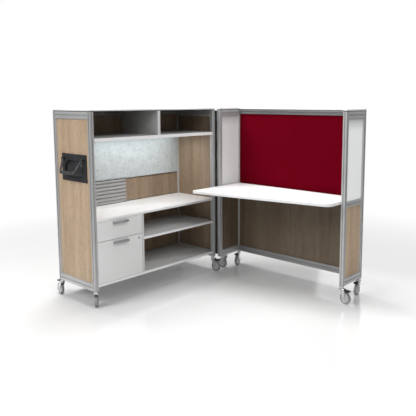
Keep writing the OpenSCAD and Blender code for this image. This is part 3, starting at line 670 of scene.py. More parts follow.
def barOutline(width, height, cuts):
    # four sides in turn, each with its cut in the middle and a round corner at its end
    corner = bars["corner"]
    arc = np.linspace(np.pi / 2, 0, 5)
    runs = []
    for i, cut in enumerate(cuts):
        halfRun, halfDeep = (height / 2, width / 2) if i % 2 == 0 else (width / 2, height / 2)
        tail = np.stack([halfRun - corner + corner * np.cos(arc), corner * np.sin(arc) - corner], axis=1)
        run = np.concatenate([bars[cut], tail])
        out = np.array([math.cos(i * math.pi / 2), math.sin(i * math.pi / 2)])
        left = np.array([-out[1], out[0]])
        runs.append(out * (halfDeep + run[:, 1:]) + left * run[:, :1])
    return np.concatenate(runs)


def bar(low, high, axis, middle, height, cuts):
    # a bar's outline about its middle, carried straight along its axis
    return extruded(barOutline(bars["wide"], height, cuts) + np.array(middle), low, high, axis)


def addFrame(name, half):
    # four posts, and at every level two end rails and a back rail between them
    wide, back = bars["wide"], half["back"]
    near, far, front, rear = sideGap + wide / 2, halfW - wide / 2, frontGap + wide / 2, back - wide / 2
    posts = [bar(footZ, headZ, 2, middle, wide, cuts) for middle, cuts in (
        ((near, front), ("groove", "slot", "groove", "groove")),
        ((far, front), ("groove", "slot", "groove", "groove")),
        ((near, rear), ("slot", "groove", "groove", "slot")),
        ((far, rear), ("groove", "groove", "slot", "slot")))]
    # a level's top, the heights of its end rails and back rail, their cuts above, and both their cuts below
    levels = [(headZ, bars["endTop"], bars["backTop"], "plain", "plain", "slot"),
              (footZ + bars["foot"], bars["foot"], bars["foot"], "slot", "slot", "plain")]
    levels += [(top, bars["middle"], bars["middle"], "slot", "plain", "slot") for top in half["middle"]]
    ends, backs = [], []
    for top, endHigh, backHigh, endCut, backCut, under in levels:
        ends += [bar(frontGap + pastPost, back - pastPost, 1, (x, top - endHigh / 2), endHigh,
                     ("groove", endCut, "groove", under)) for x in (near, far)]
        backs.append(bar(sideGap + pastPost, halfW - pastPost, 0, (rear, top - backHigh / 2), backHigh,
                         ("groove", backCut, "groove", under)))
    for part, finish, shells in (("_posts", "barZ", posts), ("_end_rails", half["ends"], ends),
                                 ("_top_rail", half["top"], backs[:1]),
                                 ("_back_rails", half["backs"], backs[1:])):
        addPiece(name + part, half["body"], finish, together(shells), [name + "_frame"])


for name, half in halves.items():
    addFrame(name, half)
print("frames of slotted bars made")

# Boards: eased edges, the shelves notched round the posts and banded along their front edges. A row of
# plain holds a piece's node, body, finish, axis through its thickness, ease and corner radius
boards = {
    "ease": 1.0, "corner": 0.8, "seal": 5.0, "sealIn": 1.2, "sealEase": 0.3, "sealUp": 0.5, "panelEase": 0.4,
    "band": 1.5, "bandProud": 0.3, "bandIn": 0.2, "bandEase": 0.25, "bandCorner": 0.6,
    "plain": {
        "base_shelf_board": ("base_shelf", "storage", "board", 2, 1.0, 0.8),
        "pedestal_partition_board": ("pedestal_partition", "storage", "board", 0, 1.0, 0.8),
        "box_drawer_face": ("box_drawer_front", "box_drawer", "front", 1, 1.4, 1.5),
        "file_drawer_face": ("file_drawer_front", "file_drawer", "front", 1, 1.4, 1.5),
        "pinboard": ("storage_tackboard", "storage", "felt", 1, 2.6, 2.0),
        "red_board": ("red_tackboard", "desk_half", "red", 1, 3.6, 3.0)}}


def notched(low, high, farNotch):
    # a shelf's outline, stepped round the posts at the ends that reach past them
    near, far = sideGap + pastPost, halfW - pastPost
    front, rear = frontGap + pastPost, storageBack - pastPost
    farSide = [(high[0], low[1]), (high[0], high[1])]
    if farNotch:
        farSide = [(far, low[1]), (far, front), (high[0], front), (high[0], rear), (far, rear), (far, high[1])]
    nearSide = [(near, high[1]), (near, rear), (low[0], rear), (low[0], front), (near, front), (near, low[1])]
    return rounded(farSide + nearSide, boards["corner"], 3)


def boxBoard(box, axis=2, ease=boards["ease"], corner=boards["corner"]):
    # a rectangle with round corners, carried along the axis with eased edges
    low, high = np.array(box, float)
    across = acrossAxes(axis)
    outline = rounded(rectangle(low[across], high[across]), corner, 3)
    return easedBoard(outline, low[axis], high[axis], ease, axis)


def topBoard(low, high):
    # the white board above a thin black band of painted shade
    drawn, split = boards["sealIn"], low[2] + boards["seal"]
    seal = ((low[0] + drawn, low[1] + drawn, low[2]),
            (high[0] - drawn, high[1] - drawn, split + boards["sealUp"]))
    return boxBoard(((low[0], low[1], split), high)), boxBoard(seal, ease=boards["sealEase"])


def addTops():
    low, high = localBox("desk_cap")
    wide = bars["wide"]
    caps = [topBoard(low, (low[0] + wide, high[1], high[2])), topBoard((high[0] - wide, low[1], low[2]), high),
            topBoard((low[0] + pastPost, high[1] - wide, low[2]), (high[0] - pastPost, high[1], high[2]))]
    for node, body, ending, tops in (("storage_top", "storage", "", [topBoard(*localBox("storage_top"))]),
                                     ("desk_cap", "desk_half", "s", caps)):
        tops, shadeBands = zip(*tops)
        addPiece(node + "_board" + ending, body, "laminate", together(tops), [node])
        # the black bands under the tops are painted shade lines
        addPiece(node + "_seal" + ending, body, "seal", together(shadeBands), [node])


def addShelves():
    bands = []
    proud, drawn = boards["bandProud"], boards["bandIn"]
    for node, finish in (("overhead_shelf", "board"), ("credenza_top", "credenza"), ("middle_shelf", "board"),
                         ("base_shelf", None)):
        low, high = localBox(node)
        if finish:
            shell = easedBoard(notched(low, high, node != "middle_shelf"), low[2], high[2], boards["ease"])
            addPiece(node + "_board", "storage", finish, shell, [node])
        near, far = max(low[0], sideGap + pastPost), min(high[0], halfW - pastPost)
        bands.append(boxBoard(((near + proud, low[1] - proud, low[2] + drawn),
                               (far - proud, low[1] + boards["band"], high[2] - drawn)),
                              1, boards["bandEase"], boards["bandCorner"]))
    addPiece("shelf_edge_bands", "storage", "edge", together(bands))


def addDivider():
    # its outline steps down under the back rail
    low, high = localBox("overhead_divider")
    railFoot, railFace = headZ - bars["backTop"], storageBack - pastPost
    outline = rounded([(low[1], low[2]), (high[1], low[2]), (high[1], railFoot), (railFace, railFoot),
                       (railFace, high[2]), (low[1], high[2])], boards["corner"], 3)
    addPiece("overhead_divider_board", "storage", "board",
             easedBoard(outline, low[0], high[0], boards["ease"], 0), ["overhead_divider"])


def addPanels():
    for name, (node, body, finish, axis, ease, corner) in boards["plain"].items():
        addPiece(name, body, finish, boxBoard(localBox(node), axis, ease, corner), [node])
    low, high = localBox("desk_end_panels")
    thick = bars["wide"] - 2 * panelFace
    # the hinge side takes the much darker oak, painted shade under the desktop
    for side, finish, x in (("hinge", "smokedOak", low[0]), ("outer", "oak", high[0] - thick)):
        box = ((x, low[1], low[2]), (x + thick, high[1], high[2]))
        addPiece("desk_" + side + "_board", "desk_half", finish, boxBoard(box, 0, boards["panelEase"]),
                 ["desk_end_panels"])


addTops()
addShelves()
addDivider()
addPanels()
print("boards made")

# Desktop: a skewed front edge between a small and a large round corner, a thin band of painted shade below
desktop = {"reachNear": 350.0, "reachFar": 136.0, "radii": (22.0, 60.0, 2.0, 2.0), "edge": 2.2,
           "backing": 3.0, "backingIn": 1.5, "backingUp": 0.5, "backingEase": 0.4}


def addDesktop():
    # one outline with rounded corners, carried up as the board and, drawn in, as the band of painted shade
    low, high = localBox("desktop")
    split = low[2] + desktop["backing"]
    outline = rounded([(low[0], frontGap - desktop["reachNear"]), (high[0], frontGap - desktop["reachFar"]),
                       (high[0], high[1]), (low[0], high[1])], desktop["radii"], 13)
    drawn = outline + desktop["backingIn"] * mitres(outline)
    addPiece("desktop_board", "desk_half", "laminate", easedBoard(outline, split, high[2], desktop["edge"]),
             ["desktop"])
    addPiece("desktop_backing", "desk_half", "seal",
             easedBoard(drawn, low[2], split + desktop["backingUp"], desktop["backingEase"]), ["desktop"])


addDesktop()

# Slatted tool panel: bars with lips over undercut slots, each slot backed by a strip
slats = {"count": 6, "gap": 8.0, "deep": 9.0, "lip": 2.5, "under": 3.0, "bevel": 0.8, "backing": 1.2,
         "backingUnder": 0.3, "backingEnd": 0.4}


def addSlats():
    # the panel's side view, with the same slot cut at even heights, carried along x
    low, high = localBox("slat_panel")
    count, gap, bevel = slats["count"], slats["gap"], slats["bevel"]
    over, end = slats["backingUnder"], slats["backingEnd"]
    face, lip, deep = low[1], low[1] + slats["lip"], low[1] + slats["deep"]
    half, under = gap / 2, gap / 2 + slats["under"]
    barHigh = (high[2] - low[2] - count * gap) / (count + 1)
    upper = np.array([(face, half + bevel), (face + bevel, half), (lip, half), (lip, under), (deep, under)])
    pattern = np.concatenate([upper, upper[::-1] * [1, -1]])
    centres = high[2] - barHigh - half - np.arange(count) * (barHigh + gap)
    cuts = pattern[None] + np.stack([np.zeros(count), centres], axis=1)[:, None]
    outline = np.concatenate([[(high[1], low[2]), (high[1], high[2]), (face, high[2])], cuts.reshape(-1, 2),
                              [(face, low[2])]])
    addPiece("tool_slats", "storage", "slat", extruded(outline, low[0], high[0], 0), ["slat_panel"])
    strips = [rectangle((deep - slats["backing"], z - under + over), (deep + over, z + under - over))
              for z in centres]
    strips = [extruded(rounded(strip, end, 3), low[0] + end, high[0] - end, 0) for strip in strips]
    addPiece("tool_slat_backing", "storage", "slot", together(strips), ["slat_panel"])


addSlats()

# Pulls: one strip of sheet bent over the drawer front, down behind it and down before it
pull = {"thick": 2.5, "flange": 16.0, "lip": 13.0, "radii": (0.4, 0.3, 3.2, 0.9, 0.9, 1.2, 1.2, 0.9),
        "ease": 0.5}


def addPulls():
    thick = pull["thick"]
    for drawer in ("box_drawer", "file_drawer"):
        low, high = localBox(drawer + "_pull")
        face, out, top = high[1], low[1], high[2]
        outline = rounded([(face, top - pull["flange"]), (face, top), (out, top), (out, top - pull["lip"]),
                           (out + thick, top - pull["lip"]), (out + thick, top - thick),
                           (face - thick, top - thick), (face - thick, top - pull["flange"])], pull["radii"])
        addPiece(drawer + "_bent_pull", drawer, "pull",
                 easedBoard(outline, low[0], high[0], pull["ease"], 0, 3), [drawer + "_pull"])


addPulls()

# Lock: a turned ring round the cylinder. Its profile is (radius, distance behind the drawer's face)
lockRing = {"profile": [(8.1, 0.5), (11.0, 0.5), (11.0, -0.6), (9.6, -2.0), (8.1, -2.0)], "corner": 0.4}


def addLockRing():
    low, high = localBox("lock_cylinder")
    centre = ((low[0] + high[0]) / 2, localBox("file_drawer_front")[0][1], (low[2] + high[2]) / 2)
    profile = rounded(lockRing["profile"], lockRing["corner"], 3)
    addPiece("lock_ring", "file_drawer", "bezel", turned(profile, centre, 1, 40, True))


addLockRing()
print("desktop, slats, pulls and lock ring made")

# Pull plate: round edges, an oval scoop that deepens towards its ends, ears for the bail. The scoop's
# profile, from its middle to its rim, is in shares of its radius and of its depth
plate = {
    "thick": 8.0, "cupSide": 31.0, "cupTop": 42.5, "cupFoot": 22.5, "deep": 22.0, "wall": 3.0, "edge": 2.5,
    "inShares": np.array([0, 8, 18, 28, 36, 40, 42, 44, 47, 51, 55, 58, 60, 61.2, 62.2, 63.2, 64]) / 64,
    "deepShares": [0.20, 0.20, 0.21, 0.24, 0.30, 0.40, 0.55, 0.72, 0.90, 0.985, 1.0, 0.97, 0.80, 0.45, 0.16,
                   0.03, 0.0],
    "middleShare": 0.42, "sideShape": 1.5, "upShare": 0.2, "quarterSteps": 19, "lineSteps": 17,
    "edgeShares": [(1.0, 0.0), (0.5, 0.14), (0.14, 0.5), (0.0, 1.0)], "rearDrawn": (3, 8), "rearShare": 0.6,
    "earOut": 14.0, "earWide": 6.0, "earFoot": 13, "earEnd": 7.5, "earSunk": 1, "earGap": 0.4, "earEase": 1.2,
    "earRadii": (0.5, 7.4, 7.4, 0.5), "pinHead": [(0, 0.0), (5.0, 0.0), (5.0, 1.6), (4.0, 2.4), (0, 2.6)],
    "pivotDown": 34.5, "slotWide": 8.0, "slotHigh": 24.0, "slotDown": 27.0, "slotSunk": 0.3, "slotProud": 0.35,
    "slotEase": 0.2, "slotCorner": 3.0}
plateFace = halfW - panelFace + plate["thick"]
pivotX, pivotZ = plateFace + plate["earOut"], localBox("pull_plate")[1][2] - plate["pivotDown"]


def plateShell(low, high):
    # rings round an oval of two half circles: out from the line between their centres to the plate's border,
    # and back to that line along the rear; the height is a share of the depth, by the distance inside the
    # oval, more towards its ends and its top
    halfY, halfZ = (high[1] - low[1]) / 2, (high[2] - low[2]) / 2
    down = (plate["cupTop"] - plate["cupFoot"]) / 2
    radius = halfZ - (plate["cupTop"] + plate["cupFoot"]) / 2
    reach = halfY - plate["cupSide"] - radius
    quarter = np.linspace(0, np.pi / 2, plate["quarterSteps"])
    upper, lower = (np.unique(np.append(quarter, math.atan2(halfZ + rise, halfY - reach)))
                    for rise in (down, -down))
    line = np.linspace(reach, -reach, plate["lineSteps"])[1:-1]
    angle = np.concatenate([upper, np.full(len(line), np.pi / 2), np.pi - upper[::-1], np.pi + lower[1:],
                            np.full(len(line), 1.5 * np.pi), 2 * np.pi - lower[:0:-1]])
    start = np.concatenate([np.full(len(upper), reach), line, np.full(len(upper) + len(lower) - 1, -reach),
                            line[::-1], np.full(len(lower) - 1, reach)])
    ray = np.stack([np.cos(angle), np.sin(angle)], axis=1)
    centre = np.stack([start, np.zeros(len(start))], axis=1)

    def border(drawn):
        # where the ray from its centre meets the border, drawn in
        limit = np.where(ray > 0, [halfY - drawn, halfZ + down - drawn],
                         [-halfY + drawn, -halfZ + down + drawn])
        steps = np.where(np.abs(ray) > 1e-9, (limit - centre) / np.where(np.abs(ray) > 1e-9, ray, 1), 1e9)
        return centre + ray * steps.min(axis=1, keepdims=True)

    rings = []
    for inShare, deepShare in zip(plate["inShares"], plate["deepShares"]):
        flat = centre + ray * (radius * inShare)
        side = np.clip(np.abs(flat[:, 0]) / (reach + radius), 0, 1) ** plate["sideShape"]
        floor = plate["middleShare"] + (1 - plate["middleShare"]) * side
        floor = floor * (1 + plate["upShare"] * flat[:, 1] / radius)
        rings.append((flat, -plate["deep"] * deepShare * floor))
    edge, thick, rear = plate["edge"], plate["thick"], plate["deep"] + plate["wall"]
    rings += [(border(edge * drawn), -edge * deep) for drawn, deep in plate["edgeShares"]]
    rings.append((border(0.0), -thick))
    first, second = plate["rearDrawn"]
    rings += [(centre + ray * r, -deep) for r, deep in (
        (radius, thick), (radius - first, plate["deep"] * plate["rearShare"]), (radius - second, rear),
        (0.0, rear))]
    rings = np.array([np.column_stack([np.broadcast_to(x, len(flat)), flat]) for flat, x in rings])
    return tube(rings + [plateFace, (low[1] + high[1]) / 2, (low[2] + high[2]) / 2 - down], caps=False)


def addPullPlate():
    low, high = localBox("pull_plate")
    middle = (low[1] + high[1]) / 2
    foot, tip = plate["earFoot"], plate["earEnd"]
    root, end = plateFace - plate["earSunk"], pivotX + tip
    outline = rounded([(root, pivotZ - foot), (end, pivotZ - tip), (end, pivotZ + tip), (root, pivotZ + foot)],
                      plate["earRadii"], 9)
    shells = [plateShell(low, high)]
    for s in (-1, 1):
        inner = middle + s * (bail["pivot"] + bail["eyeWide"] / 2 + plate["earGap"])
        outer = inner + s * plate["earWide"]
        shells.append(easedBoard(outline, min(inner, outer), max(inner, outer), plate["earEase"], 1))
        shells.append(turned(np.array(plate["pinHead"]) * [1, s], (pivotX, outer, pivotZ), 1, 32))
    addPiece("bail_plate", "storage", "plastic", together(shells), ["pull_plate"])
    slotZ, wide, tall = high[2] - plate["slotDown"], plate["slotWide"] / 2, plate["slotHigh"] / 2
    slot = ((plateFace - plate["slotSunk"], middle - wide, slotZ - tall),
            (plateFace + plate["slotProud"], middle + wide, slotZ + tall))
    addPiece("bail_plate_slot", "storage", "seal", boxBoard(slot, 0, plate["slotEase"], plate["slotCorner"]))


# Bail: broad straps from the eyes to a fuller grip, one smooth sweep
bail = {"pivot": 116.0, "eyeWide": 9.0, "eye": 8.0, "eyeBevel": 1, "gripEnd": 79.0, "drop": 92.0, "out": 46.0,
        "strap": 19.0, "strapThick": 7.0, "gripWide": 22.0, "gripThick": 15.0, "bend": 26.0,
        "fullFrom": 0.86, "fullSpan": 0.13}


def addBail():
    # a bent line in the plane of the hanging bail, from eye to eye; the strap swells to the grip near its
    # foot by the smooth step 3t^2 - 2t^3
    low, high = localBox("bail_handle")
    pivot = np.array([pivotX, (low[1] + high[1]) / 2, pivotZ])
    down = unitRows(np.array([bail["out"], 0, -bail["drop"]]))
    length = math.hypot(bail["out"], bail["drop"])
    corners = [(-bail["pivot"], 0), (-bail["gripEnd"], length), (bail["gripEnd"], length), (bail["pivot"], 0)]
    loop = rounded(corners, [0.001, bail["bend"], bail["bend"], 0.001], 13)[12:41]
    run = np.concatenate([np.linspace(loop[0], loop[1], 8)[:-1], loop[1:14],
                          np.linspace(loop[13], loop[14], 12)[1:-1], loop[14:-1],
                          np.linspace(loop[-2], loop[-1], 8)[1:]])
    path = pivot + run[:, :1] * [0, 1.0, 0] + run[:, 1:] * down
    full = np.clip((run[:, 1] / length - bail["fullFrom"]) / bail["fullSpan"], 0, 1)
    full = full * full * (3 - 2 * full)
    wide = bail["strap"] + (bail["gripWide"] - bail["strap"]) * full
    thick = bail["strapThick"] + (bail["gripThick"] - bail["strapThick"]) * full
    shells = [swept(path, np.cross([0, 1.0, 0], down) * -1, wide, thick)]
    half, eye, bevel = bail["eyeWide"] / 2, bail["eye"], bail["eyeBevel"]
    profile = [(0, -half), (eye - bevel, -half), (eye, bevel - half), (eye, half - bevel), (eye - bevel, half),
               (0, half)]
    shells += [turned(profile, pivot + [0, s * bail["pivot"], 0], 1, 32) for s in (-1, 1)]
    addPiece("bail_strap", "bail", "bail", together(shells), ["bail_handle"])


addPullPlate()
addBail()
print("pull plate and bail made")

# Castors: pressed fork under a turned head, tyre on a dished wheel, ribbed pedal. Turned profiles are
# (radius, distance): down from the frame for the head, out from the leg for the nut, bolt and rivet, and
# in from the wheel's face for the tyre and rim. The pad and the neck are side views about the pedal's pin
castor = {
    "wheelR": 42.0, "wheelWide": 22.0, "legIn": 12.2, "legThick": 3.0, "trail": 35.0, "crown": 15.0,
    "bridgeTop": 107.0, "bridgeShare": 0.3, "legEnd": 9.0, "endFrom": 0.2, "bend": 5.0, "frontTop": 27,
    "frontDip": 11, "dipShape": 0.7, "pinX": 19.0, "pinZ": 96.0,
    "legAcross": [(0, -0.5), (0.04, -1), (0.96, -1), (1, -0.5), (1, 0.5), (0.96, 1), (0.04, 1), (0, 0.5)],
    "head": [(0, 0), (12.0, 0), (12.6, 0.6), (12.6, 2.4), (13.6, 2.8), (15.0, 4.4), (15.2, 7), (15.2, 9.4),
             (14.2, 10.0), (14.2, 10.8), (15.2, 11.4), (15.2, 14.4), (14.4, 15.4), (0, 15.6)],
    "nut": [(0, -0.4), (6.3, -0.4), (6.3, 0.7), (5.4, 1.2), (0, 1.2)],
    "bolt": [(0, -0.4), (2.9, -0.4), (2.9, 1.6), (2.2, 2.0), (0, 2.0)],
    "rivet": [(0, -0.4), (3.6, -0.4), (3.2, 0.8), (0, 1.1)],
    "tyre": [(32, 1.6), (41, 0), (42, 2)], "tyreRadii": (0.8, 3.0, 1.2, 1.2, 3.0, 0.8), "rimRadius": 0.7,
    "rim": [(4.1, 0), (9.5, 0), (12.5, 3.2), (23.5, 4.2), (27.0, 1.0), (31.0, 0.2), (32.4, 1.6)],
    "padFrom": 50, "padLong": 25, "padTop": 5.6, "ripple": 0.55, "ripples": 5, "padHalf": 15.0, "padEase": 1.2,
    "pad": [(53, 4.5), (53, -1.5), (49, -6.0), (44, -4.8), (33, -2.5), (27, 0.5), (24.5, 5.2)],
    "padRadius": 0.6, "neckRadius": 0.9, "neckHalf": 11.8, "neckEase": 1.0,
    "neck": [(-4.4, -2.5), (-4.4, 3.0), (-1.5, 4.6), (28, 5.0), (28, 0.6), (24, -0.5), (23.6, -8.0),
             (13.2, -8.0), (12.0, -1.5), (4.0, -4.4), (-2.0, -4.4)]}


def forkShell():
    # a plate bent over the wheel: rings along the bent line, each as wide as the leg is at that height
    half = castor["legThick"] / 2
    mid = castor["legIn"] + half
    bend, top, axle = castor["bend"], castor["bridgeTop"] - half, castor["wheelR"]
    low = axle - castor["legEnd"] * np.cos(np.linspace(castor["endFrom"], np.pi / 2, 8))
    leg = np.concatenate([low, np.linspace(axle, top - bend, 9)[1:]])
    arc = np.linspace(0, np.pi / 2, 7)[1:]
    y = np.concatenate([np.full(len(leg), mid), mid - bend + bend * np.cos(arc), [mid * castor["bridgeShare"]]])
    z = np.concatenate([leg, top - bend + bend * np.sin(arc), [top]])
    y, z = np.concatenate([-y, y[::-1]]), np.concatenate([z, z[::-1]])
    normal = np.concatenate([np.zeros(len(leg)), arc, [np.pi / 2]])
    normal = np.concatenate([np.pi - normal, normal[::-1]])
    rise = np.clip((z - axle) / (castor["bridgeTop"] - axle), 0, 1)
    rounding = np.sqrt(np.clip(castor["legEnd"] ** 2 - np.minimum(z - axle, 0) ** 2, 0, None))
    back = castor["trail"] - rounding + rise * (castor["legEnd"] - castor["trail"] - castor["crown"])
    front = castor["trail"] + rounding + rise * (castor["frontTop"] - castor["trail"] - castor["legEnd"])
    front = front - castor["frontDip"] * np.clip(1 - np.abs(y) / mid, 0, 1) ** castor["dipShape"]
    across = np.array(castor["legAcross"], float)
    rings = np.empty((len(y), len(across), 3))
    rings[:, :, 0] = back[:, None] + (front - back)[:, None] * across[:, 0]
    rings[:, :, 1] = y[:, None] + np.cos(normal)[:, None] * across[:, 1] * half
    rings[:, :, 2] = z[:, None] + np.sin(normal)[:, None] * across[:, 1] * half
    return tube(rings)


def forkParts():
    # the bent plate, the turned head above it, and a nut, a bolt and a rivet turned on both legs
    shells = [forkShell(), turned(np.array(castor["head"]) * [1, -1] + [0, footZ], (0, 0, 0), 2, 40)]
    axle, pin = (castor["trail"], 0, castor["wheelR"]), (castor["pinX"], 0, castor["pinZ"])
    out = castor["legIn"] + castor["legThick"]
    for s in (-1, 1):
        for key, at, sides in (("nut", axle, 6), ("bolt", axle, 16), ("rivet", pin, 16)):
            shells.append(turned((np.array(castor[key]) + [0, out]) * [1, s], at, 1, sides))
    return together(shells)


def wheelShell(side, radii, steps):
    # half a section and its mirror image, with round corners, turned about the axle
    section = np.array(side) - [0, castor["wheelWide"] / 2]
    section = rounded(np.concatenate([section, section[::-1] * [1, -1]]), radii, steps)
    return turned(section, (castor["trail"], 0, castor["wheelR"]), 1, 64, True)


def pedalShell():
    # side views carried across: a boss round the pin with a shoe over the wheel, and a pad whose top is
    # rippled by a cosine
    share = np.linspace(0, 1, 25)
    top = castor["padTop"] + castor["ripple"] * np.cos(share * castor["ripples"] * 2 * np.pi)
    padTop = np.stack([castor["padFrom"] - castor["padLong"] * share, top], axis=1)
    padFoot = rounded(castor["pad"], castor["padRadius"], 3)[:-3][::-1]
    neck = rounded(castor["neck"], castor["neckRadius"], 3)[::-1]
    at = np.array([castor["pinX"], castor["pinZ"]])
    return together([easedBoard(outline + at, -half, half, ease, 1) for outline, half, ease in (
        (neck, castor["neckHalf"], castor["neckEase"]),
        (np.concatenate([padFoot, padTop]), castor["padHalf"], castor["padEase"]))])


def castorPlace(points, swivel, heading):
    # from a castor's frame, trailing along its own x, to the row frame
    across = np.array([-heading[1], heading[0]])
    flat = swivel + points[:, :1] * heading + points[:, 1:2] * across
    return np.concatenate([flat, points[:, 2:]], axis=1)


def addCastors():
    shells = {"fork": forkParts(), "tyre": wheelShell(castor["tyre"], castor["tyreRadii"], 4),
              "rim": wheelShell(castor["rim"], castor["rimRadius"], 3), "pedal": pedalShell()}
    places = {joint["child"]: np.array(joint["pos_m"][:2]) for joint in frame["joints"]
              if joint["child"].startswith(("fork_", "wheel_"))}
    forks = [name for name in frame["nodes"] if name.startswith("fork_")]
    for fork in forks:
        where = fork[len("fork"):]
        heading = unitRows(places["wheel" + where] - places[fork])

        def place(points):
            return castorPlace(points, places[fork], heading)

        for key, node, finish in (("fork", "fork", "chrome"), ("tyre", "wheel", "tyre"),
                                  ("rim", "wheel", "rim"), ("pedal", "brake", "brake")):
            addPiece("castor_" + key + where, node + where, finish, shells[key], [node + where], place)
    print("castors made:", len(forks))


addCastors()

# Trims: beads round the panels, painted shadow lines on the back wall, seals along the hinge, screws in its
# leaves
trims = {
    "beadOut": 4.8, "beadWide": 3.0, "beadProud": 3.0, "lineHigh": 4.0, "lineProud": 0.4, "lineShare": 0.7,
    "lineIn": 1.0, "lineOut": 1.5, "lineEase": 0.3, "sealWide": 4.6, "sealDeep": 3.8, "sealGap": 0.1,
    "sealFrom": 0.8, "sealEase": 0.4, "sealCorner": 1.6, "screws": 9, "screwEnd": 60, "screwX": 2.5,
    "screwY": 15,
    "screw": [(0, 0.4), (3.6, 0.4), (3.6, 0.0), (2.6, -0.7), (0, -0.9)]}


def addBeads(name, half):
    # a bead round both faces of every end panel, between the levels of the rails
    edges = [footZ + bars["foot"], headZ - bars["endTop"]]
    for top in half["middle"]:
        edges[1:1] = [top - bars["middle"], top]
    middle = bars["wide"] / 2
    strips = []
    for z0, z1 in zip(edges[::2], edges[1::2]):
        low, high = (frontGap + bars["wide"], z0), (half["back"] - bars["wide"], z1)
        strips += [rimStrip(low, high, x + s * trims["beadOut"], trims["beadWide"], s * trims["beadProud"], 0)
                   for x in (sideGap + middle, halfW - middle) for s in (-1, 1)]
    addPiece(name + "_end_beads", half["body"], "bead", together(strips))


def addShadowLines():
    # dark strips of painted shadow under the pinboard and behind the credenza, stepped forward over the slats
    slatLow, slatHigh = localBox("slat_panel")
    wallLow, wallHigh = localBox("storage_tackboard")
    tall, slatY, ease = trims["lineHigh"], slatLow[1] - trims["lineProud"], trims["lineEase"]
    lines = []
    for z, wallY in ((slatHigh[2] - tall * trims["lineShare"], wallLow[1] + trims["lineIn"]),
                     (slatLow[2], wallHigh[1] - trims["lineOut"])):
        lines += [boxBoard(((x0, y, z), (x1, wallHigh[1], z + tall)), 2, ease, ease)
                  for x0, x1, y in ((wallLow[0], slatLow[0], wallY), (slatLow[0], slatHigh[0], slatY))]
    addPiece("shadow_strips", "storage", "seal", together(lines))


def addHingeTrims(name, half):
    # a seal beside the hinge, and screw heads turned at even heights down its leaf
    low, high = localBox("hinge_leaf_storage")
    seal = ((sideGap - trims["sealWide"], trims["sealFrom"], low[2]),
            (sideGap - trims["sealGap"], trims["sealFrom"] + trims["sealDeep"], headZ))
    addPiece(name + "_hinge_seal", half["body"], "seal",
             boxBoard(seal, 2, trims["sealEase"], trims["sealCorner"]))
    heights = np.linspace(low[2] + trims["screwEnd"], high[2] - trims["screwEnd"], trims["screws"])
    screws = [turned(trims["screw"], (sideGap - trims["screwX"], frontGap + trims["screwY"], z), 0, 20)
              for z in heights]
    addPiece(name + "_hinge_screws", half["body"], "steel", together(screws))


addShadowLines()
for name, half in halves.items():
    addBeads(name, half)
    addHingeTrims(name, half)
print("trims made")

# The finish of every CAD node; the castors' nodes go by the first word of their names
finishNodes = {
    "barZ": ["storage_frame", "desk_frame"], "oak": ["outer_end_panel", "desk_end_panels"],
    "laminate": ["storage_top", "desk_cap", "credenza_top", "desktop"], "smokedOak": ["desk_back_panel"],
    "innerOak": ["hinge_end_panel", "back_panel"], "lampBody": ["task_light"], "lamp": ["light_lens"],
    "board": ["overhead_shelf", "overhead_divider", "pedestal_partition", "middle_shelf", "base_shelf",
              "box_drawer_front", "file_drawer_front"],
    "felt": ["storage_tackboard"], "slat": ["slat_panel"], "zinc": ["drawer_runners"],
    "plastic": ["pull_plate"], "bail": ["bail_handle"], "hinge": ["hinge_leaf_storage", "hinge_leaf_desk"],
    "steel": ["hinge_pin"], "chrome": ["lock_cylinder", "fork"],
    "tray": ["box_drawer_tray", "file_drawer_tray"],
    "pull": ["box_drawer_pull", "file_drawer_pull"], "frost": ["frosted_panels"], "red": ["red_tackboard"],
    "arm": ["desk_arms"], "tyre": ["wheel"], "brake": ["brake"]}
nodeFinishes = {node: finish for finish, group in finishNodes.items() for node in group}
for nodeName, obj in frame["nodes"].items():
    finish = nodeFinishes.get(nodeName) or nodeFinishes[nodeName.split("_")[0]]
    obj.data.materials.clear()
    obj.data.materials.append(finishes[finish])

# Camera: solved from the photograph, about the hinge axis
camera = {"along": -3.3679, "back": -3.1489, "up": 1.4363, "yaw": 48.85, "pitch": 7.28, "focalPixels": 549.9,
          "photoPixels": 416, "middlePixels": (234.5, 172.1), "sensor": 36.0, "clipEnd": 60.0}


def addCamera():
    eye = bpy.data.cameras.new("photo_camera")
    holder = bpy.data.objects.new("photo_camera", eye)
    bpy.context.scene.collection.objects.link(holder)
    photo, middle = camera["photoPixels"], camera["middlePixels"]
    eye.sensor_width, eye.clip_end = camera["sensor"], camera["clipEnd"]
    eye.lens = camera["focalPixels"] * camera["sensor"] / photo
    eye.shift_x, eye.shift_y = 0.5 - middle[0] / photo, middle[1] / photo - 0.5
    holder.location = (hingeX + camera["along"], hingeY + camera["back"], camera["up"])
    holder.rotation_euler = (math.radians(90 - camera["pitch"]), 0, -math.radians(camera["yaw"]))
    bpy.context.scene.camera = holder


# Floor and lights. A light is its place, size and power. A task light, a strip before the lens, is its
# distance before it, its length and its power
studio = {
    "floorSize": 24.0, "floorColour": (0.78, 0.78, 0.78), "floorLow": 0.985, "cloud": (0.6, 3.0),
    "roughness": 0.115, "roughSpans": (0.05,), "specular": 0.5, "fadeFrom": 1.4, "fadeTo": 3.6,
    "ambient": 0.27, "aim": (0, 0, 0.6),
    "lights": {"top": ((0.1, 1.3, 4.6), 2.6, 230.0), "left": ((-4.0, 1.1, 3.4), 2.0, 106.0),
               "front": ((-0.8, -3.6, 4.4), 3.0, 90.0), "right": ((4.4, 0.6, 2.4), 2.6, 30.0)},
    "task": {"glow": (0.17, 0.95, 1.95), "line": (0.035, 1.05, 0.24)}, "taskWide": 0.05, "taskBelow": 0.01,
    "taskAim": (0, 0.05, 1)}


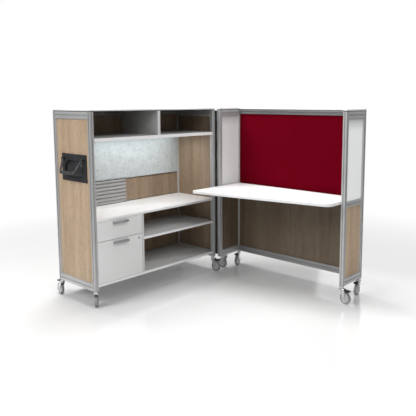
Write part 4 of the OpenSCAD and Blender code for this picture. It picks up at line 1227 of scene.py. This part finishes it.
def floorFinish(name):
    # nearly white with a faint cloud, fading out between two distances from the middle
    f = Finish(name, Specular_IOR_Level=studio["specular"])
    cloud = f.noise(f.here, *studio["cloud"])
    low = scaled(studio["floorColour"], studio["floorLow"])
    f.set("Base Color", f.twoTone(cloud, low, studio["floorColour"]))
    f.rough((cloud,), studio["roughSpans"], studio["roughness"])
    x, y = f.axes()[:2]
    distance = (x * x + y * y) ** 0.5
    f.set("Alpha", ((studio["fadeTo"] - distance) / (studio["fadeTo"] - studio["fadeFrom"])).clipped())
    return f.material


def addFloor():
    mesh = bpy.data.meshes.new("floor")
    half = studio["floorSize"] / 2
    mesh.from_pydata([(*corner, 0) for corner in rectangle((-half, -half), (half, half))], [], [(0, 1, 2, 3)])
    floor = bpy.data.objects.new("floor", mesh)
    bpy.context.scene.collection.objects.link(floor)
    mesh.materials.append(floorFinish("studio_floor"))


def addLight(name, at, size, power, aim=studio["aim"], sizeY=None):
    # a rectangle of light that looks at its aim
    light = bpy.data.lights.new(name, "AREA")
    light.shape, light.size, light.size_y, light.energy = "RECTANGLE", size, sizeY or size, power
    holder = bpy.data.objects.new(name, light)
    bpy.context.scene.collection.objects.link(holder)
    holder.location = at
    gaze = np.array(aim) - np.array(at)
    flat = math.hypot(gaze[0], gaze[1])
    holder.rotation_euler = (math.atan2(flat, -gaze[2]), 0, math.atan2(-gaze[0], gaze[1]))


def addWorld():
    # white where the camera looks past the object, and a dimmer white as the light from all round
    world = bpy.data.worlds.new("studio")
    bpy.context.scene.world = world
    world.use_nodes = True
    nodes, links = world.node_tree.nodes, world.node_tree.links
    nodes.clear()
    path, either, out = (nodes.new("ShaderNode" + kind) for kind in ("LightPath", "MixShader", "OutputWorld"))
    for entry, strength in ((1, studio["ambient"]), (2, 1.0)):
        sky = nodes.new("ShaderNodeBackground")
        sky.inputs["Color"].default_value = (1, 1, 1, 1)
        sky.inputs["Strength"].default_value = strength
        links.new(sky.outputs[0], either.inputs[entry])
    links.new(path.outputs["Is Camera Ray"], either.inputs[0])
    links.new(either.outputs[0], out.inputs["Surface"])


addCamera()
addWorld()
bpy.context.scene.view_settings.view_transform = "Standard"
addFloor()
for name, light in studio["lights"].items():
    addLight(name + "_light", *light)
lensLow, lensHigh = (np.array(corner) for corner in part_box("light_lens"))
for name, (forward, length, power) in studio["task"].items():
    below = (lensHigh[2] - lensLow[2]) / 2 + studio["taskBelow"]
    at = (lensLow + lensHigh) / 2 - [0, forward, below]
    addLight("task_" + name, at, length, power, at - studio["taskAim"], studio["taskWide"])
print("camera, floor and lights set")
